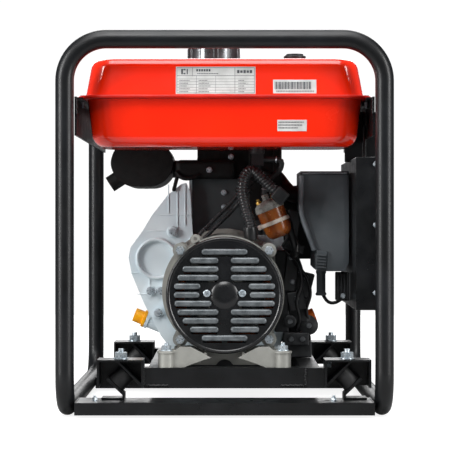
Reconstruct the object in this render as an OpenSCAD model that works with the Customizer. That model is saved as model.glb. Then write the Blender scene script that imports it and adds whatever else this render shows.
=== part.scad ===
// Open-frame portable generating set: air-cooled single-cylinder engine and
// a bolted-on alternator in a welded tube frame with the fuel tank on top.
// +Z is up, +X is the control-panel side, -Y is the alternator end.
// The origin is on the floor below the middle of the frame. Millimetres.

/* [Frame] */
// Length of the frame over its tubes
frame_l = 655; // [650:5:800]
// Width of the frame over its tubes
frame_w = 488; // [486:2:600]
// Height of the frame over its tubes
frame_h = 560; // [556:2:680]
// Outer diameter of the frame tube
tube_d = 27; // [22:0.5:27]
// Centre-line radius of the top bends
top_bend_r = 60; // [45:1:70]
// Centre-line radius of the bottom bends
foot_bend_r = 50; // [40:1:60]

/* [Base and cradle] */
// Depth of each base crossbar along the frame
crossbar_y = 80; // [76:1:90]
// Height of each base crossbar
crossbar_h = 18; // [14:1:18]
// Height of the cradle's seat for engine and alternator
cradle_top = 69; // [69:0.5:72]
// Side of the square cradle tube
cradle_bar = 29; // [24:1:30]
// Diameter of each rubber mount
rubber_d = 29; // [24:1:30]

/* [Tank] */
// Height of the underside of the tank's seam flange
flange_z = 464; // [462:1:480]
// Height of the upper shell above the seam
tank_upper_h = 56; // [45:1:58]
// Depth of the deep end of the lower shell
tank_deep_h = 71; // [60:1:72]
// Depth of the shallow part of the lower shell
tank_shallow_h = 20; // [14:1:22]
// Wall of the tank
tank_wall = 1.5; // [1:0.5:3]
// Diameter of the fuel cap
cap_d = 84; // [76:1:90]

/* [Engine] */
// Height of the crank axis above the cradle's seat
crank_h = 106; // [105:0.5:108]
// Cylinder bore
bore_d = 78; // [65:1:80]
// Piston stroke
stroke = 62; // [50:1:62]
// Diameter of the crankshaft's journals
journal_d = 35; // [29:1:36]
// Diameter of the flywheel
flywheel_d = 194; // [170:2:196]
// Height of the silencer's oval body
muffler_h = 75; // [62:1:78]

/* [Alternator] */
// Diameter of the louvred end cover
cover_d = 173.6; // [150:0.4:176]
// Outer diameter of the stator core
stator_d = 178; // [172:1:179]
// Length of the stator core
stator_l = 88; // [74:1:88]
// Radial gap between rotor and stator
air_gap = 1; // [0.5:0.25:2]

/* [Control box] */
// Length of the control box along the frame
panel_l = 340; // [330:2:360]
// Height of the control box
panel_h = 226; // [220:1:230]
// Diameter of the plug recess in each outlet
socket_d = 39; // [36:0.5:42]

/* [Hidden] */
$fn = 48;
// running clearance between a turning shaft and its bore, each side
run = 0.06;
// clearance of a piece that only has to stay free of its neighbour
gap = 0.4;
tube_r = tube_d / 2;
hoop_y = frame_l / 2 - tube_r;
post_x = frame_w / 2 - tube_r;
in_x = post_x - tube_r;
top_z = frame_h - tube_r;
rail_z = tube_r;
crank_z = cradle_top + crank_h;
steel = 3;

// stations along the crank axis, from the alternator end to the starter end
cover_l = 26;
bracket_l = 30;
adapter_l = 30;
case_cover_l = 22;
case_l = 134;
cowl_l = 92;
recoil_l = 52;
y_face = -262;
y_bracket = y_face + cover_l;
y_stator = y_bracket + bracket_l;
y_adapter = y_stator + stator_l;
y_case_cover = y_adapter + adapter_l;
y_case = y_case_cover + case_cover_l;
y_cowl = y_case + case_l;
y_recoil = y_cowl + cowl_l;
y_cyl = y_case + case_l / 2;

// cradle and its mounts; the four mounts lie symmetric about mount_x
mount_x = 14;
mount_dx = 167;
mount_y = [-249, 151];
channel_l = 50;
channel_w = 68;
channel_top = cradle_top + 12;
channel_z = cradle_top - cradle_bar;
beam_x = 112;
foot_x = 86;
foot_y = -251.5;
foot_top = cradle_top + 24;
crossbar_z = 4;
crossbar_top = crossbar_z + crossbar_h;
crossbar_at = [-272, 151];

// tank
tank_x = 205;
tank_y = 288;
flange_x = min(tank_x + 11, in_x - 0.8);
flange_t = 1.5;
seam_z = flange_z + 2 * flange_t;
tank_top = seam_z + tank_upper_h;
deep_end = -134;
cap_at = [-17, -64];
gauge_at = [107, -164];
gauge_h = 16;
conduit_r = 8.6;
cap_h = 32.5;
neck_r = 34;
tap_at = [50, -175];
rail_leg = 56;
tank_bolt_x = tank_x + 4.7;
tank_bolt_y = 240;

// engine
bore_r = bore_d / 2;
throw = stroke / 2;
rod_l = 112;
wrist_z = crank_z - throw + rod_l;
crown = 24;
skirt = 26;
case_top = crank_z + 87;
deck_z = crank_z + throw + rod_l + crown + 3;
head_top = deck_z + 40;
pin_r = 16;
journal_r = journal_d / 2;
bearing_r = 36;
pump_at = [76, y_cyl - 30];
injector_at = [49, y_cyl - 38];
web_in = 17;
web_t = 16;
case_cavity_r = 72;
cowl_r = 122;
cowl_x = 12;
cowl_wall = 3;
fly_r = flywheel_d / 2;
pulley_r = 50;
rope_r = 2;
rope_z = crank_z + pulley_r + rope_r + gap;
pulley_y = y_recoil + 26;

// control box
panel_z = 153;
panel_x0 = 194;
panel_x = 229;
panel_y = -254;
hanger_x = in_x - 0.6 - 2 * steel;
hanger_h = 50;
sock_z = panel_z + 58;
sock_ys = [panel_y + 62, panel_y + 142];
sock_r = socket_d / 2;
key_at = [panel_y + 285, panel_z + 165];
toggle_at = [panel_y + 212, panel_z + 58];
reset_at = [panel_y + 262, panel_z + 58];

// muffler, air cleaner, fuel filter, starter motor
muf_x = -131;
muf_w = 98;
muf_z = 377;
muf_y = -60;
muf_l = 180;
air_x = 116;
air_w = 74;
air_z = 208;
air_h = 153;
air_y = -162;
air_l = 150;
filt_at = [86, -160, 262];
filt_tilt = -22;
start_at = [116, 95];

// oil fillers, one each side of the crankcase
oil_tilt = 22;
oil_y = -44;
oil_from = [86, 113];
oil_len = 42;
oil_r = 12;

// ---------- shared shapes ----------

// the XZ outline given, thickened along Y from y0 to y0 + l
module along_y(y0, l) {
    translate([0, y0 + l, 0]) rotate([90, 0, 0]) linear_extrude(l) children();
}

// the YZ outline given, thickened along X from x0 to x0 + l
module along_x(x0, l) {
    translate([x0, 0, 0]) rotate([90, 0, 90]) linear_extrude(l) children();
}

module rod_y(r, x, z, y0, y1) {
    translate([x, y0, z]) rotate([-90, 0, 0]) cylinder(r = r, h = y1 - y0);
}

module rod_x(r, y, z, x0, x1) {
    translate([x0, y, z]) rotate([0, 90, 0]) cylinder(r = r, h = x1 - x0);
}

module rod_z(r, x, y, z0, z1) {
    translate([x, y, z0]) cylinder(r = r, h = z1 - z0);
}

module ring_y(r_out, r_in, y0, y1, z = crank_z, x = 0) {
    translate([x, y0, z]) rotate([-90, 0, 0]) difference() {
        cylinder(r = r_out, h = y1 - y0);
        translate([0, 0, -1]) cylinder(r = r_in, h = y1 - y0 + 2);
    }
}

// a rectangle with round corners, made of squares and circles only
module round_rect(w, h, r) {
    square([w, h - 2 * r], center = true);
    square([w - 2 * r, h], center = true);
    for (i = [-1, 1], j = [-1, 1]) translate([i * (w / 2 - r), j * (h / 2 - r)]) circle(r);
}

// a block with round vertical edges
module slab(w, l, h, r) {
    linear_extrude(h) round_rect(w, l, r);
}

// a quarter of a bent tube in the XZ plane, from +X round to +Z
module bend(r) {
    rotate([90, 0, 0]) rotate_extrude(angle = 90) translate([r, 0]) circle(tube_r);
}

module hex_y(af, x, z, y0, y1) {
    translate([x, y0, z]) rotate([-90, 0, 0]) cylinder(r = af / sqrt(3), h = y1 - y0, $fn = 6);
}

module hex_z(af, x, y, z0, z1) {
    translate([x, y, z0]) cylinder(r = af / sqrt(3), h = z1 - z0, $fn = 6);
}

module mirror_copy(v) {
    children();
    mirror(v) children();
}

// a round hose swept along the points with n sides
function dir_at(p, i) = let (
    a = p[max(i - 1, 0)], b = p[min(i + 1, len(p) - 1)], d = b - a) d / norm(d);
function side_at(d) = let (
    k = abs(d[2]) < 0.9 ? [0, 0, 1] : [1, 0, 0], s = cross(d, k)) s / norm(s);
module hose(p, r, n = 10) {
    rings = len(p);
    pts = [for (i = [0:rings - 1]) let (d = dir_at(p, i), s = side_at(d), t = cross(d, s))
        for (k = [0:n - 1]) p[i] + r * (cos(360 * k / n) * s + sin(360 * k / n) * t)];
    ends = [[for (k = [0:n - 1]) k], [for (k = [0:n - 1]) (rings - 1) * n + n - 1 - k]];
    walls = [for (i = [0:rings - 2], k = [0:n - 1]) [
        i * n + k, (i + 1) * n + k, (i + 1) * n + (k + 1) % n, i * n + (k + 1) % n]];
    polyhedron(points = pts, faces = concat(ends, walls), convexity = 6);
}

// a smooth curve through four Bezier handles
function bez(a, b, c, d, t) =
    pow(1 - t, 3) * a + 3 * pow(1 - t, 2) * t * b + 3 * (1 - t) * t * t * c + t * t * t * d;
function curve(a, b, c, d, n) = [for (i = [0:n]) bez(a, b, c, d, i / n)];

// ---------- frame ----------

module hoop(y) {
    translate([0, y, 0]) {
        for (s = [-1, 1]) {
            rod_z(tube_r, s * post_x, 0, rail_z + foot_bend_r, top_z - top_bend_r);
        }
        rod_x(tube_r, 0, top_z, -post_x + top_bend_r, post_x - top_bend_r);
        mirror_copy([1, 0, 0]) translate([post_x - top_bend_r, 0, top_z - top_bend_r]) bend(top_bend_r);
    }
}

module near_hoop() color("#1b1d1f") hoop(-hoop_y);
module far_hoop() color("#1b1d1f") hoop(hoop_y);

module bottom_rails() color("#1b1d1f") mirror_copy([1, 0, 0]) translate([post_x, 0, 0]) {
    rod_y(tube_r, 0, rail_z, -hoop_y + foot_bend_r, hoop_y - foot_bend_r);
    mirror_copy([0, 1, 0]) translate([0, hoop_y - foot_bend_r, rail_z + foot_bend_r])
        rotate([0, 0, 90]) mirror([0, 0, 1]) bend(foot_bend_r);
}

// a flat inverted channel across the rails under each pair of mounts
module base_crossbars() color("#151617") for (y = crossbar_at) difference() {
    translate([0, y, crossbar_z]) linear_extrude(crossbar_h)
        square([2 * in_x - 0.1, crossbar_y], center = true);
    translate([0, y, crossbar_z - 1]) linear_extrude(crossbar_h - 2)
        square([2 * in_x - 12, crossbar_y - 2 * steel], center = true);
    for (s = [-1, 1]) rod_z(4.5, s * 150, y, crossbar_z, crossbar_top + 1);
}

// an angle along each side that carries the tank and hangs the control box
module tank_rails() color("#1b1c1e") mirror_copy([1, 0, 0]) difference() {
    union() {
        translate([in_x - 0.5 - steel, -hoop_y + 2, flange_z - rail_leg])
            cube([steel, 2 * hoop_y - 4, rail_leg]);
        translate([tank_x + gap, -hoop_y + 16, flange_z - steel])
            cube([in_x - 0.5 - tank_x - gap, 2 * hoop_y - 32, steel]);
    }
    for (t = [-1, 1]) rod_z(2.6, tank_bolt_x, t * tank_bolt_y, flange_z - 10, flange_z + 1);
}

// ---------- cradle on its rubber mounts ----------

// places children at each of the four mounts; +X there points to the middle
module at_mounts() for (s = [-1, 1], y = mount_y)
    translate([mount_x + s * mount_dx, y, 0]) mirror([s > 0 ? 1 : 0, 0, 0]) children();

module engine_cradle() color("#17181a") difference() {
    union() {
        for (y = [mount_y[0] - 17, mount_y[1] - cradle_bar + 17])
            translate([mount_x - mount_dx + channel_w / 2, y, channel_z])
                cube([2 * mount_dx - channel_w, cradle_bar, cradle_bar]);
        for (s = [-1, 1]) translate([mount_x + s * beam_x - cradle_bar / 2, mount_y[0] + 12, channel_z])
            cube([cradle_bar, mount_y[1] - mount_y[0] - 24, cradle_bar]);
        for (y = [-52, 30]) translate([mount_x - beam_x, y, channel_z + 6])
            cube([2 * beam_x, cradle_bar, cradle_bar - 6]);
        at_mounts() channel();
    }
    for (s = [-1, 1]) rod_z(4.3, s * foot_x, foot_y, channel_z - 1, cradle_top + 1);
    at_mounts() rod_z(4.3, 0, 0, channel_top - 6, channel_top + 1);
}

// a box of bent plate over each mount, open at the bottom and towards the alternator
module channel() {
    translate([0, channel_l / 2, channel_z]) rotate([90, 0, 0]) linear_extrude(channel_l) difference() {
        translate([-channel_w / 2, 0]) square([channel_w, channel_top - channel_z]);
        translate([-channel_w / 2 + steel, -1])
            square([channel_w - 2 * steel, channel_top - channel_z + 1 - steel]);
    }
    translate([-channel_w / 2 + steel / 2, channel_l / 2 - steel, channel_z])
        cube([channel_w - steel, steel, channel_top - channel_z - steel / 2]);
}

// bent plates at 45 degrees: the lower one stands on the crossbar, the upper hangs in the channel
module mount_brackets() color("#1d1e20") at_mounts() translate([0, 18, 0]) rotate([90, 0, 0])
    linear_extrude(36) {
        polygon([[-21, 52], [-18, 55], [6, 31], [6, crossbar_top], [-28, crossbar_top],
            [-28, crossbar_top + steel], [3, crossbar_top + steel], [3, 29]]);
        polygon([[-6, channel_top - steel], [-2, channel_top - steel], [31, 46], [29, 42]]);
    }

module rubber_mounts() color("#26282a") at_mounts()
    translate([-7.3, 0, 44.3]) rotate([0, 45, 0]) cylinder(d = rubber_d, h = 24);

// nuts with their studs, and the alternator's long bolts
module fasteners() color("#b9bec2") {
    at_mounts() nut_and_stud(channel_top, 10);
    for (s = [-1, 1]) translate([s * foot_x, foot_y, 0]) nut_and_stud(foot_top, 8);
    for (s = [-1, 1], t = [-1, 1]) translate([s * 66, 0, crank_z + t * 66]) {
        rod_y(3.5, 0, 0, y_bracket, y_adapter + 24);
        hex_y(12, 0, 0, y_bracket - 6, y_bracket);
    }
    for (s = [-1, 1], t = [-1, 1]) translate([s * tank_bolt_x, t * tank_bolt_y, 0]) {
        rod_z(2.5, 0, 0, flange_z - 12, seam_z);
        hex_z(7.4, 0, 0, seam_z, seam_z + 4);
    }
}

module nut_and_stud(z, d) {
    rod_z(d * 1.1, 0, 0, z, z + 1.5);
    hex_z(d * 1.6, 0, 0, z + 1.5, z + d);
    rod_z(d / 2 - 0.9, 0, 0, z - 3, z + d * 1.5);
}

// ---------- tank ----------

// a pan open at z0 with leaning sides and cut edges; inset by w all round
module pan(y0, y1, z0, z1, lean, cut, w) {
    s = sign(z1 - z0);
    x = tank_x - w;
    z = z1 - s * w;
    c = cut - w * 0.4;
    intersection() {
        along_y(y0 + w, y1 - y0 - 2 * w) polygon([[-x, z0], [-x + lean, z - s * c],
            [-x + lean + c, z], [x - lean - c, z], [x - lean, z - s * c], [x, z0]]);
        along_x(-x, 2 * x) polygon([[y0 + w, z0], [y0 + w + lean, z - s * c],
            [y0 + w + lean + c, z], [y1 - w - lean - c, z], [y1 - w - lean, z - s * c], [y1 - w, z0]]);
        translate([0, (y0 + y1) / 2, min(z0, z) - 1]) linear_extrude(abs(z - z0) + 2)
            round_rect(2 * x, y1 - y0 - 2 * w, 40 - w);
    }
}

module flange(z) translate([0, 0, z]) linear_extrude(flange_t) difference() {
    union() {
        round_rect(2 * flange_x, 2 * tank_y + 14, 42);
        for (t = [-1, 1]) translate([0, t * tank_bolt_y]) square([2 * tank_x + 16, 22], center = true);
    }
    round_rect(2 * tank_x - 2 * tank_wall, 2 * tank_y - 2 * tank_wall, 38);
    for (s = [-1, 1], t = [-1, 1]) translate([s * tank_bolt_x, t * tank_bolt_y]) circle(2.6);
}

module tank_upper_shell() color("#e32b12") {
    flange(flange_z + flange_t);
    difference() {
        union() {
            pan(-tank_y, tank_y, seam_z, tank_top, 8, 12, 0);
            rod_z(neck_r, cap_at[0], cap_at[1], tank_top - 2, tank_top + 10);
        }
        pan(-tank_y, tank_y, seam_z - 0.01, tank_top, 8, 12, tank_wall);
        rod_z(neck_r - tank_wall, cap_at[0], cap_at[1], tank_top - 10, tank_top + 11);
        rod_z(12, gauge_at[0], gauge_at[1], tank_top - 10, tank_top + 1);
    }
}

module tank_lower_shell() color("#e32b12") {
    flange(flange_z);
    difference() {
        union() {
            pan(-tank_y, deep_end, flange_z, flange_z - tank_deep_h, 8, 22, 0);
            pan(-tank_y, tank_y, flange_z, flange_z - tank_shallow_h, 4, 8, 0);
        }
        pan(-tank_y, deep_end, flange_z + 0.01, flange_z - tank_deep_h, 8, 22, tank_wall);
        pan(-tank_y, tank_y, flange_z + 0.01, flange_z - tank_shallow_h, 4, 8, tank_wall);
        rod_z(6, tap_at[0], tap_at[1], flange_z - tank_deep_h - 1, flange_z - tank_deep_h + 10);
    }
}

module fuel_cap() color("#b9bdc0") translate([cap_at[0], cap_at[1], tank_top]) {
    difference() {
        translate([0, 0, 1]) cylinder(d = cap_d, h = cap_h);
        translate([0, 0, 0]) cylinder(r = neck_r + 1, h = 12);
    }
    difference() {
        cylinder(r = neck_r - tank_wall - 0.6, h = 13);
        translate([0, 0, -1]) cylinder(r = neck_r - 6, h = 12);
    }
}

module fuel_gauge() color("#202224") translate([gauge_at[0], gauge_at[1], tank_top]) {
    cylinder(r = 17, h = gauge_h - 7);
    cylinder(r = 13, h = gauge_h);
    translate([0, 0, -30]) cylinder(r = 5, h = 31);
    translate([0, 0, -5]) cylinder(r = 11.5, h = 6);
}

module fuel_tap() color("#c9a24a") translate([tap_at[0], tap_at[1], flange_z - tank_deep_h]) difference() {
    union() {
        cylinder(r = 5.9, h = 12);
        translate([0, 0, -6]) cylinder(r = 11, h = 6);
        translate([-9, -9, -24]) cube([18, 18, 18]);
        translate([9, 0, -15]) rotate([0, 90, 0]) cylinder(r = 4, h = 14);
    }
    translate([0, 0, -20]) cylinder(r = 3, h = 40);
    translate([0, 1, -15]) rotate([-90, 0, 0]) cylinder(r = 4 + run, h = 9);
}

module fuel_tap_lever() color("#c23a20") translate([tap_at[0], tap_at[1], flange_z - tank_deep_h - 15]) {
    translate([0, 1.5, 0]) rotate([-90, 0, 0]) cylinder(r = 4, h = 11.5);
    translate([-5, 10, -26]) cube([10, 4, 30]);
}

// ---------- fuel filter and hoses ----------

module at_filter() translate(filt_at) rotate([0, filt_tilt, 0]) children();

module fuel_filter_bowl() color("#c8702a") at_filter() difference() {
    union() {
        cylinder(r = 20, h = 44);
        translate([0, 0, 20]) cylinder(r = 22.5, h = 8);
    }
    translate([0, 0, 2]) cylinder(r = 18, h = 43);
}

module fuel_filter_head() color("#a9aaa6") at_filter() {
    difference() {
        translate([0, 0, 44]) cylinder(r = 22, h = 14);
        translate([0, 0, 43]) cylinder(r = 16, h = 11);
    }
    translate([0, 0, 58]) cylinder(r = 6, h = 10);
    translate([0, 0, 44.2]) cylinder(r = 3, h = 20);
    translate([0, 0, 51]) rotate([-90, 0, 0]) cylinder(r = 4, h = 34);
}

fuel_from = [tap_at[0] + 23.5, tap_at[1], flange_z - tank_deep_h - 15];
filter_top = [filt_at[0] - 68 * sin(-filt_tilt), filt_at[1], filt_at[2] + 68 * cos(filt_tilt)];
filter_out = [filt_at[0] - 51 * sin(-filt_tilt), filt_at[1] + 34.2, filt_at[2] + 51 * cos(filt_tilt)];
pump_in = [pump_at[0], pump_at[1] - 11.2, case_top + 28];
pump_top = [pump_at[0], pump_at[1], case_top + 56.2];
injector_top = [injector_at[0], injector_at[1], head_top + 12.2];
module fuel_hoses() color("#1c1d1f") {
    hose(curve(fuel_from, fuel_from + [14, 0, 0], filter_top + [-4, 0, 34], filter_top + [-0.4, 0, 0.9], 14), 4);
    hose(curve(filter_out, filter_out + [0, 24, 0], pump_in + [0, -26, 0], pump_in, 12), 4);
    hose(curve(pump_top, pump_top + [0, 0, 50], injector_top + [10, 0, 46], injector_top, 14), 2.5);
}

// ---------- alternator ----------

// the end cover's louvre slots, top row first: where each slot starts and how far out it reaches
louvre_h = 7;
louvre_pitch = 12.7;
louvre_rows = [[0, 34], [9, 51], [9, 62], [9, 69.5], [35.5, 74.5], [37, 75],
    [19, 74], [9, 69.5], [9, 62], [9, 51], [0, 34]];
module louvres() for (i = [0:10], s = [-1, 1]) translate([0, (5 - i) * louvre_pitch]) {
    start = louvre_rows[i][0];
    reach = louvre_rows[i][1];
    x0 = start == 0 ? -reach : s > 0 ? start : -reach;
    x1 = start == 0 ? reach : s > 0 ? reach : -start;
    translate([x0 + louvre_h / 2, -louvre_h / 2]) square([x1 - x0 - louvre_h, louvre_h]);
    for (x = [x0 + louvre_h / 2, x1 - louvre_h / 2]) translate([x, 0]) circle(louvre_h / 2);
}

module alternator_end_cover() color("#1a1b1c") difference() {
    union() {
        ring_y(cover_d / 2, cover_d / 2 - 1.5, y_face + 2, y_bracket);
        ring_y(cover_d / 2 - 1.5, 1, y_face, y_face + 2);
        ring_y(cover_d / 2, cover_d / 2 - 6, y_face + 1, y_face + 3);
    }
    translate([0, 0, crank_z]) along_y(y_face - 1, 4) louvres();
}

bracket_r = cover_d / 2 + 1.8;
module at_corners() for (s = [-1, 1], t = [-1, 1]) translate([s * 66, 0, crank_z + t * 66]) children();

module alternator_end_bracket() color("#b6b4ac") difference() {
    union() {
        ring_y(bracket_r, 80.5, y_bracket, y_stator);
        ring_y(23, 18 + run, y_bracket, y_bracket + 12);
        for (a = [0:45:315]) translate([0, 0, crank_z]) rotate([0, a, 0])
            translate([20, y_bracket, -4]) cube([62, 8, 8]);
        for (s = [-1, 1], t = [-1, 1]) rod_y(11, s * 66, crank_z + t * 66, y_bracket, y_stator);
        for (s = [-1, 1]) {
            rod_z(12, s * foot_x, foot_y, cradle_top, foot_top);
            along_y(foot_y - 5, 10 + y_stator - foot_y - 20) polygon([[s * foot_x, cradle_top],
                [s * foot_x, cradle_top + 14], [s * 66, cradle_top + 30], [s * 50, crank_z - 76],
                [s * 34, crank_z - 84], [s * 20, cradle_top + 14], [s * 34, cradle_top + 10],
                [s * 60, cradle_top]]);
        }
    }
    ring_y(cover_d / 2 + gap, 1, y_face - 1, y_bracket - 0.02);
    for (s = [-1, 1]) rod_z(4.1, s * foot_x, foot_y, cradle_top - 1, foot_top + 1);
    at_corners() rod_y(3.6, 0, 0, y_bracket - 1, y_stator + 1);
}

module stator_core() color("#7d7f80") difference() {
    ring_y(stator_d / 2, rotor_r + air_gap, y_stator, y_adapter);
    for (a = [0:30:330]) translate([0, 0, crank_z]) rotate([0, a, 0])
        translate([rotor_r + air_gap - 1, y_stator - 1, -4]) cube([19, stator_l + 2, 8]);
}
rotor_r = 54;

module stator_windings() color("#a8562c") {
    ring_y(77, rotor_r + 6, y_stator - 16, y_stator);
    ring_y(77, rotor_r + 6, y_adapter, y_adapter + 8);
}

module alternator_front_bracket() color("#b6b4ac") difference() {
    union() {
        ring_y(91, 84, y_adapter, y_case_cover);
        ring_y(98, 70, y_case_cover - 6, y_case_cover);
        for (s = [-1, 1], t = [-1, 1]) rod_y(11, s * 66, crank_z + t * 66, y_adapter, y_case_cover);
    }
    ring_y(83, 0.5, y_adapter - 1, y_case_cover - 6);
    for (a = [22.5:45:337.5]) translate([0, 0, crank_z]) rotate([0, a, 0])
        translate([80, y_adapter + 5, -15]) cube([20, 14, 30]);
    at_corners() rod_y(3.6, 0, 0, y_adapter - 1, y_adapter + 25);
}

module rotor() color("#6a6d70") {
    rod_y(rotor_r, 0, crank_z, y_stator + 2, y_adapter - 2);
    rod_y(12, 0, crank_z, y_bracket - 14, y_stator + 3);
    rod_y(17, 0, crank_z, y_bracket - 12, y_bracket - 3);
    rod_y(16, 0, crank_z, y_adapter - 3, y_case_cover - 2);
    ring_y(52, 15, y_adapter + 11, y_adapter + 14);
    for (a = [0:30:330]) translate([0, 0, crank_z]) rotate([0, a, 0])
        translate([36, y_adapter + 10, -1]) cube([42, 13, 2]);
    ring_y(80, 50, y_adapter + 20, y_adapter + 22);
}

module bearings() color("#9aa0a4") {
    ring_y(18 + run, 12 + run, y_bracket, y_bracket + 10);
    for (y = [y_case - 8, y_cowl - 14]) ring_y(bearing_r, journal_r + run, y, y + 14);
}

// ---------- engine ----------

case_outline = [[-95, 69], [95, 69], [95, 80], [88, 86], [96, 130], [96, 205], [92, 262],
    [-62, 262], [-105, 262], [-135, 240], [-138, 215], [-122, 165], [-100, 110], [-84, 86], [-95, 80]];

function lift(p) = [for (q = p) [q[0], q[1] + cradle_top - 69 + (q[1] > 90 ? crank_h - 106 : 0)]];

module crankcase() color("#b9bcbe") difference() {
    along_y(y_case, case_l) polygon(lift(case_outline));
    rod_y(case_cavity_r, 0, crank_z, y_case + 9, y_cowl - 14);
    rod_y(bearing_r, 0, crank_z, y_case - 1, y_cowl + 1);
    rod_z(bore_r + 6, 0, y_cyl, crank_z, case_top + 1);
    oil_holes(oil_r + 0.05);
    for (s = [-1, 1], y = [y_case + 27, y_cowl - 27]) rod_z(4.5, s * 89, y, cradle_top - 1, cradle_top + 20);
}

cover_outline = [[-60, 345], [-68, 343], [-89, 326], [-114, 294], [-129, 269], [-148, 243], [-151, 227],
    [-146, 202], [-129, 161], [-118, 138], [-100, 104], [-84, 84], [84, 84], [98, 130], [98, 205],
    [92, 262], [-50, 262], [-54, 330]];
function upper(p) = [for (q = p) [q[0], q[1] + crank_z - 175]];

module crankcase_cover() color("#c2c5c7") difference() {
    union() {
        along_y(y_case_cover + 6, case_cover_l - 6) polygon(upper(cover_outline));
        ring_y(98, 72, y_case_cover, y_case_cover + 7);
        ring_y(33, 27, y_case_cover + 1, y_case_cover + 7, crank_z + 50.5, -107);
        for (p = cover_bolts) rod_y(8, p[0], crank_z - 175 + p[1], y_case_cover + 1, y_case_cover + 7);
    }
    ring_y(27, 0.5, y_case_cover - 1, y_case_cover + 8, crank_z + 50.5, -107);
    rod_y(bearing_r + 3, 0, crank_z, y_case_cover - 1, y_case + 1);
}
cover_bolts = [[-82, 268], [-116, 175], [-101, 175], [-104, 141]];

module crankshaft() color("#8f9498") {
    rod_y(journal_r, 0, crank_z, y_case_cover - 2, y_cyl - web_in - 1);
    rod_y(journal_r, 0, crank_z, y_cyl + web_in + 1, y_recoil - 22);
    for (y = [y_cyl - web_in - web_t, y_cyl + web_in]) along_y(y, web_t) translate([0, crank_z]) {
        circle(26);
        translate([-22, -throw]) square([44, throw]);
        translate([0, -throw]) circle(22);
        intersection() {
            circle(web_out);
            translate([-web_out, 4]) square([2 * web_out, web_out]);
        }
    }
}
web_out = wrist_z - skirt - crank_z - 3;

module connecting_rod() color("#9a9fa3") {
    rod_y(pin_r, 0, crank_z - throw, y_cyl - web_in + gap, y_cyl + web_in - gap);
    along_y(y_cyl - 9, 18) difference() {
        union() {
            translate([0, crank_z - throw]) circle(24);
            translate([-8, crank_z - throw]) square([16, rod_l]);
            translate([0, wrist_z]) circle(15);
        }
        translate([0, wrist_z]) circle(9 + run);
    }
}

module piston() color("#c9cccd") difference() {
    union() {
        difference() {
            translate([0, y_cyl, wrist_z - skirt]) cylinder(r = bore_r - run, h = skirt + crown);
            translate([0, y_cyl, wrist_z - skirt - 1]) cylinder(r = bore_r - 6, h = skirt + crown - 7);
        }
        rod_y(9, 0, wrist_z, y_cyl - bore_r + 2, y_cyl + bore_r - 2);
    }
    for (z = [4, 8, 13]) translate([0, y_cyl, wrist_z + crown - z]) difference() {
        cylinder(r = bore_r + 1, h = 1.5);
        translate([0, 0, -1]) cylinder(r = bore_r - 2.5, h = 4);
    }
}

module cylinder_barrel() color("#54575a") difference() {
    union() {
        rod_z(bore_r + 5.9, 0, y_cyl, wrist_z - skirt + 6, deck_z);
        for (z = [case_top + 8:9:deck_z - 6]) translate([0, y_cyl, z]) slab(104, 108, 3, 14);
        translate([0, y_cyl, case_top]) slab(104, 104, 5, 10);
    }
    rod_z(bore_r, 0, y_cyl, wrist_z - skirt - 1, deck_z + 1);
}

module cylinder_head() color("#6a6d70") difference() {
    translate([0, y_cyl, deck_z]) {
        slab(108, 108, 8, 14);
        slab(88, 92, 40, 10);
        for (z = [14:9:32]) translate([0, 0, z]) slab(106, 106, 3, 14);
        translate([injector_at[0], injector_at[1] - y_cyl, 14]) cylinder(r = 6, h = 38);
    }
    rod_x(12, y_cyl, deck_z + 24, -70, -20);
    rod_x(13, y_cyl, deck_z + 24, 20, 70);
}

module rocker_cover() color("#232527") translate([0, y_cyl, head_top]) difference() {
    union() {
        slab(84, 88, 6, 12);
        slab(74, 78, 34, 14);
        for (s = [-1, 1]) translate([s * 20, 0, 0]) cylinder(r = 7, h = 37);
    }
    translate([0, 0, -1]) slab(66, 70, 30, 10);
    translate([0, -50, 18]) rotate([-90, 0, 0]) cylinder(r = 4 + run, h = 24);
}

module decompression_lever() color("#c8ccce") translate([0, y_cyl, head_top + 18]) {
    translate([0, -48, 0]) rotate([-90, 0, 0]) cylinder(r = 4, h = 19);
    translate([-5, -51, -5]) cube([42, 4, 10]);
}

module injection_pump() color("#8d9194") translate([pump_at[0], pump_at[1], case_top]) {
    slab(30, 34, 10, 5);
    cylinder(r = 11, h = 46);
    translate([0, 0, 46]) cylinder(r = 7, h = 10);
}

lever_at = [y_cyl - 52, crank_z + 54];
module speed_lever() color("#b9bdc0") translate([0, lever_at[0], lever_at[1]]) {
    rotate([0, 90, 0]) translate([0, 0, 96.4]) cylinder(r = 6, h = 8);
    translate([98, -5, 0]) cube([4, 10, 46]);
}

// sheet metal that guides the fan's air over the cylinder
module cooling_shroud() color("#3a3c3e") difference() {
    translate([0, 0, case_top + 3]) linear_extrude(deck_z - case_top + 6) difference() {
        translate([-56, y_cyl - 62]) square([112, 62 + y_cowl - y_cyl]);
        translate([-54.4, y_cyl - 60.4]) square([108.8, 66 + y_cowl - y_cyl]);
    }
}

module fan_outline(wall) intersection() {
    translate([cowl_x, crank_z]) circle(cowl_r - wall);
    translate([-200, cradle_top + 2 + wall]) square([400, 300]);
}
module fan_housing() color("#232527") difference() {
    along_y(y_cowl, cowl_l) fan_outline(0);
    along_y(y_cowl + cowl_wall, cowl_l) fan_outline(cowl_wall);
    rod_y(bearing_r + 10, 0, crank_z, y_cowl - 1, y_cowl + 5);
    translate([-50, y_cowl - 1, case_top + 4]) cube([100, 6, 30]);
}

module flywheel() color("#6f7376") difference() {
    union() {
        rod_y(fly_r, 0, crank_z, y_cowl + 12, y_cowl + 34);
        rod_y(34, 0, crank_z, y_cowl + 8, y_cowl + 60);
        for (a = [0:22.5:337.5]) translate([0, 0, crank_z]) rotate([0, a, 0])
            translate([32, y_cowl + 33, -1.5]) cube([fly_r - 36, 26, 3]);
    }
    rod_y(journal_r, 0, crank_z, y_cowl - 1, y_recoil);
}

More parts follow.
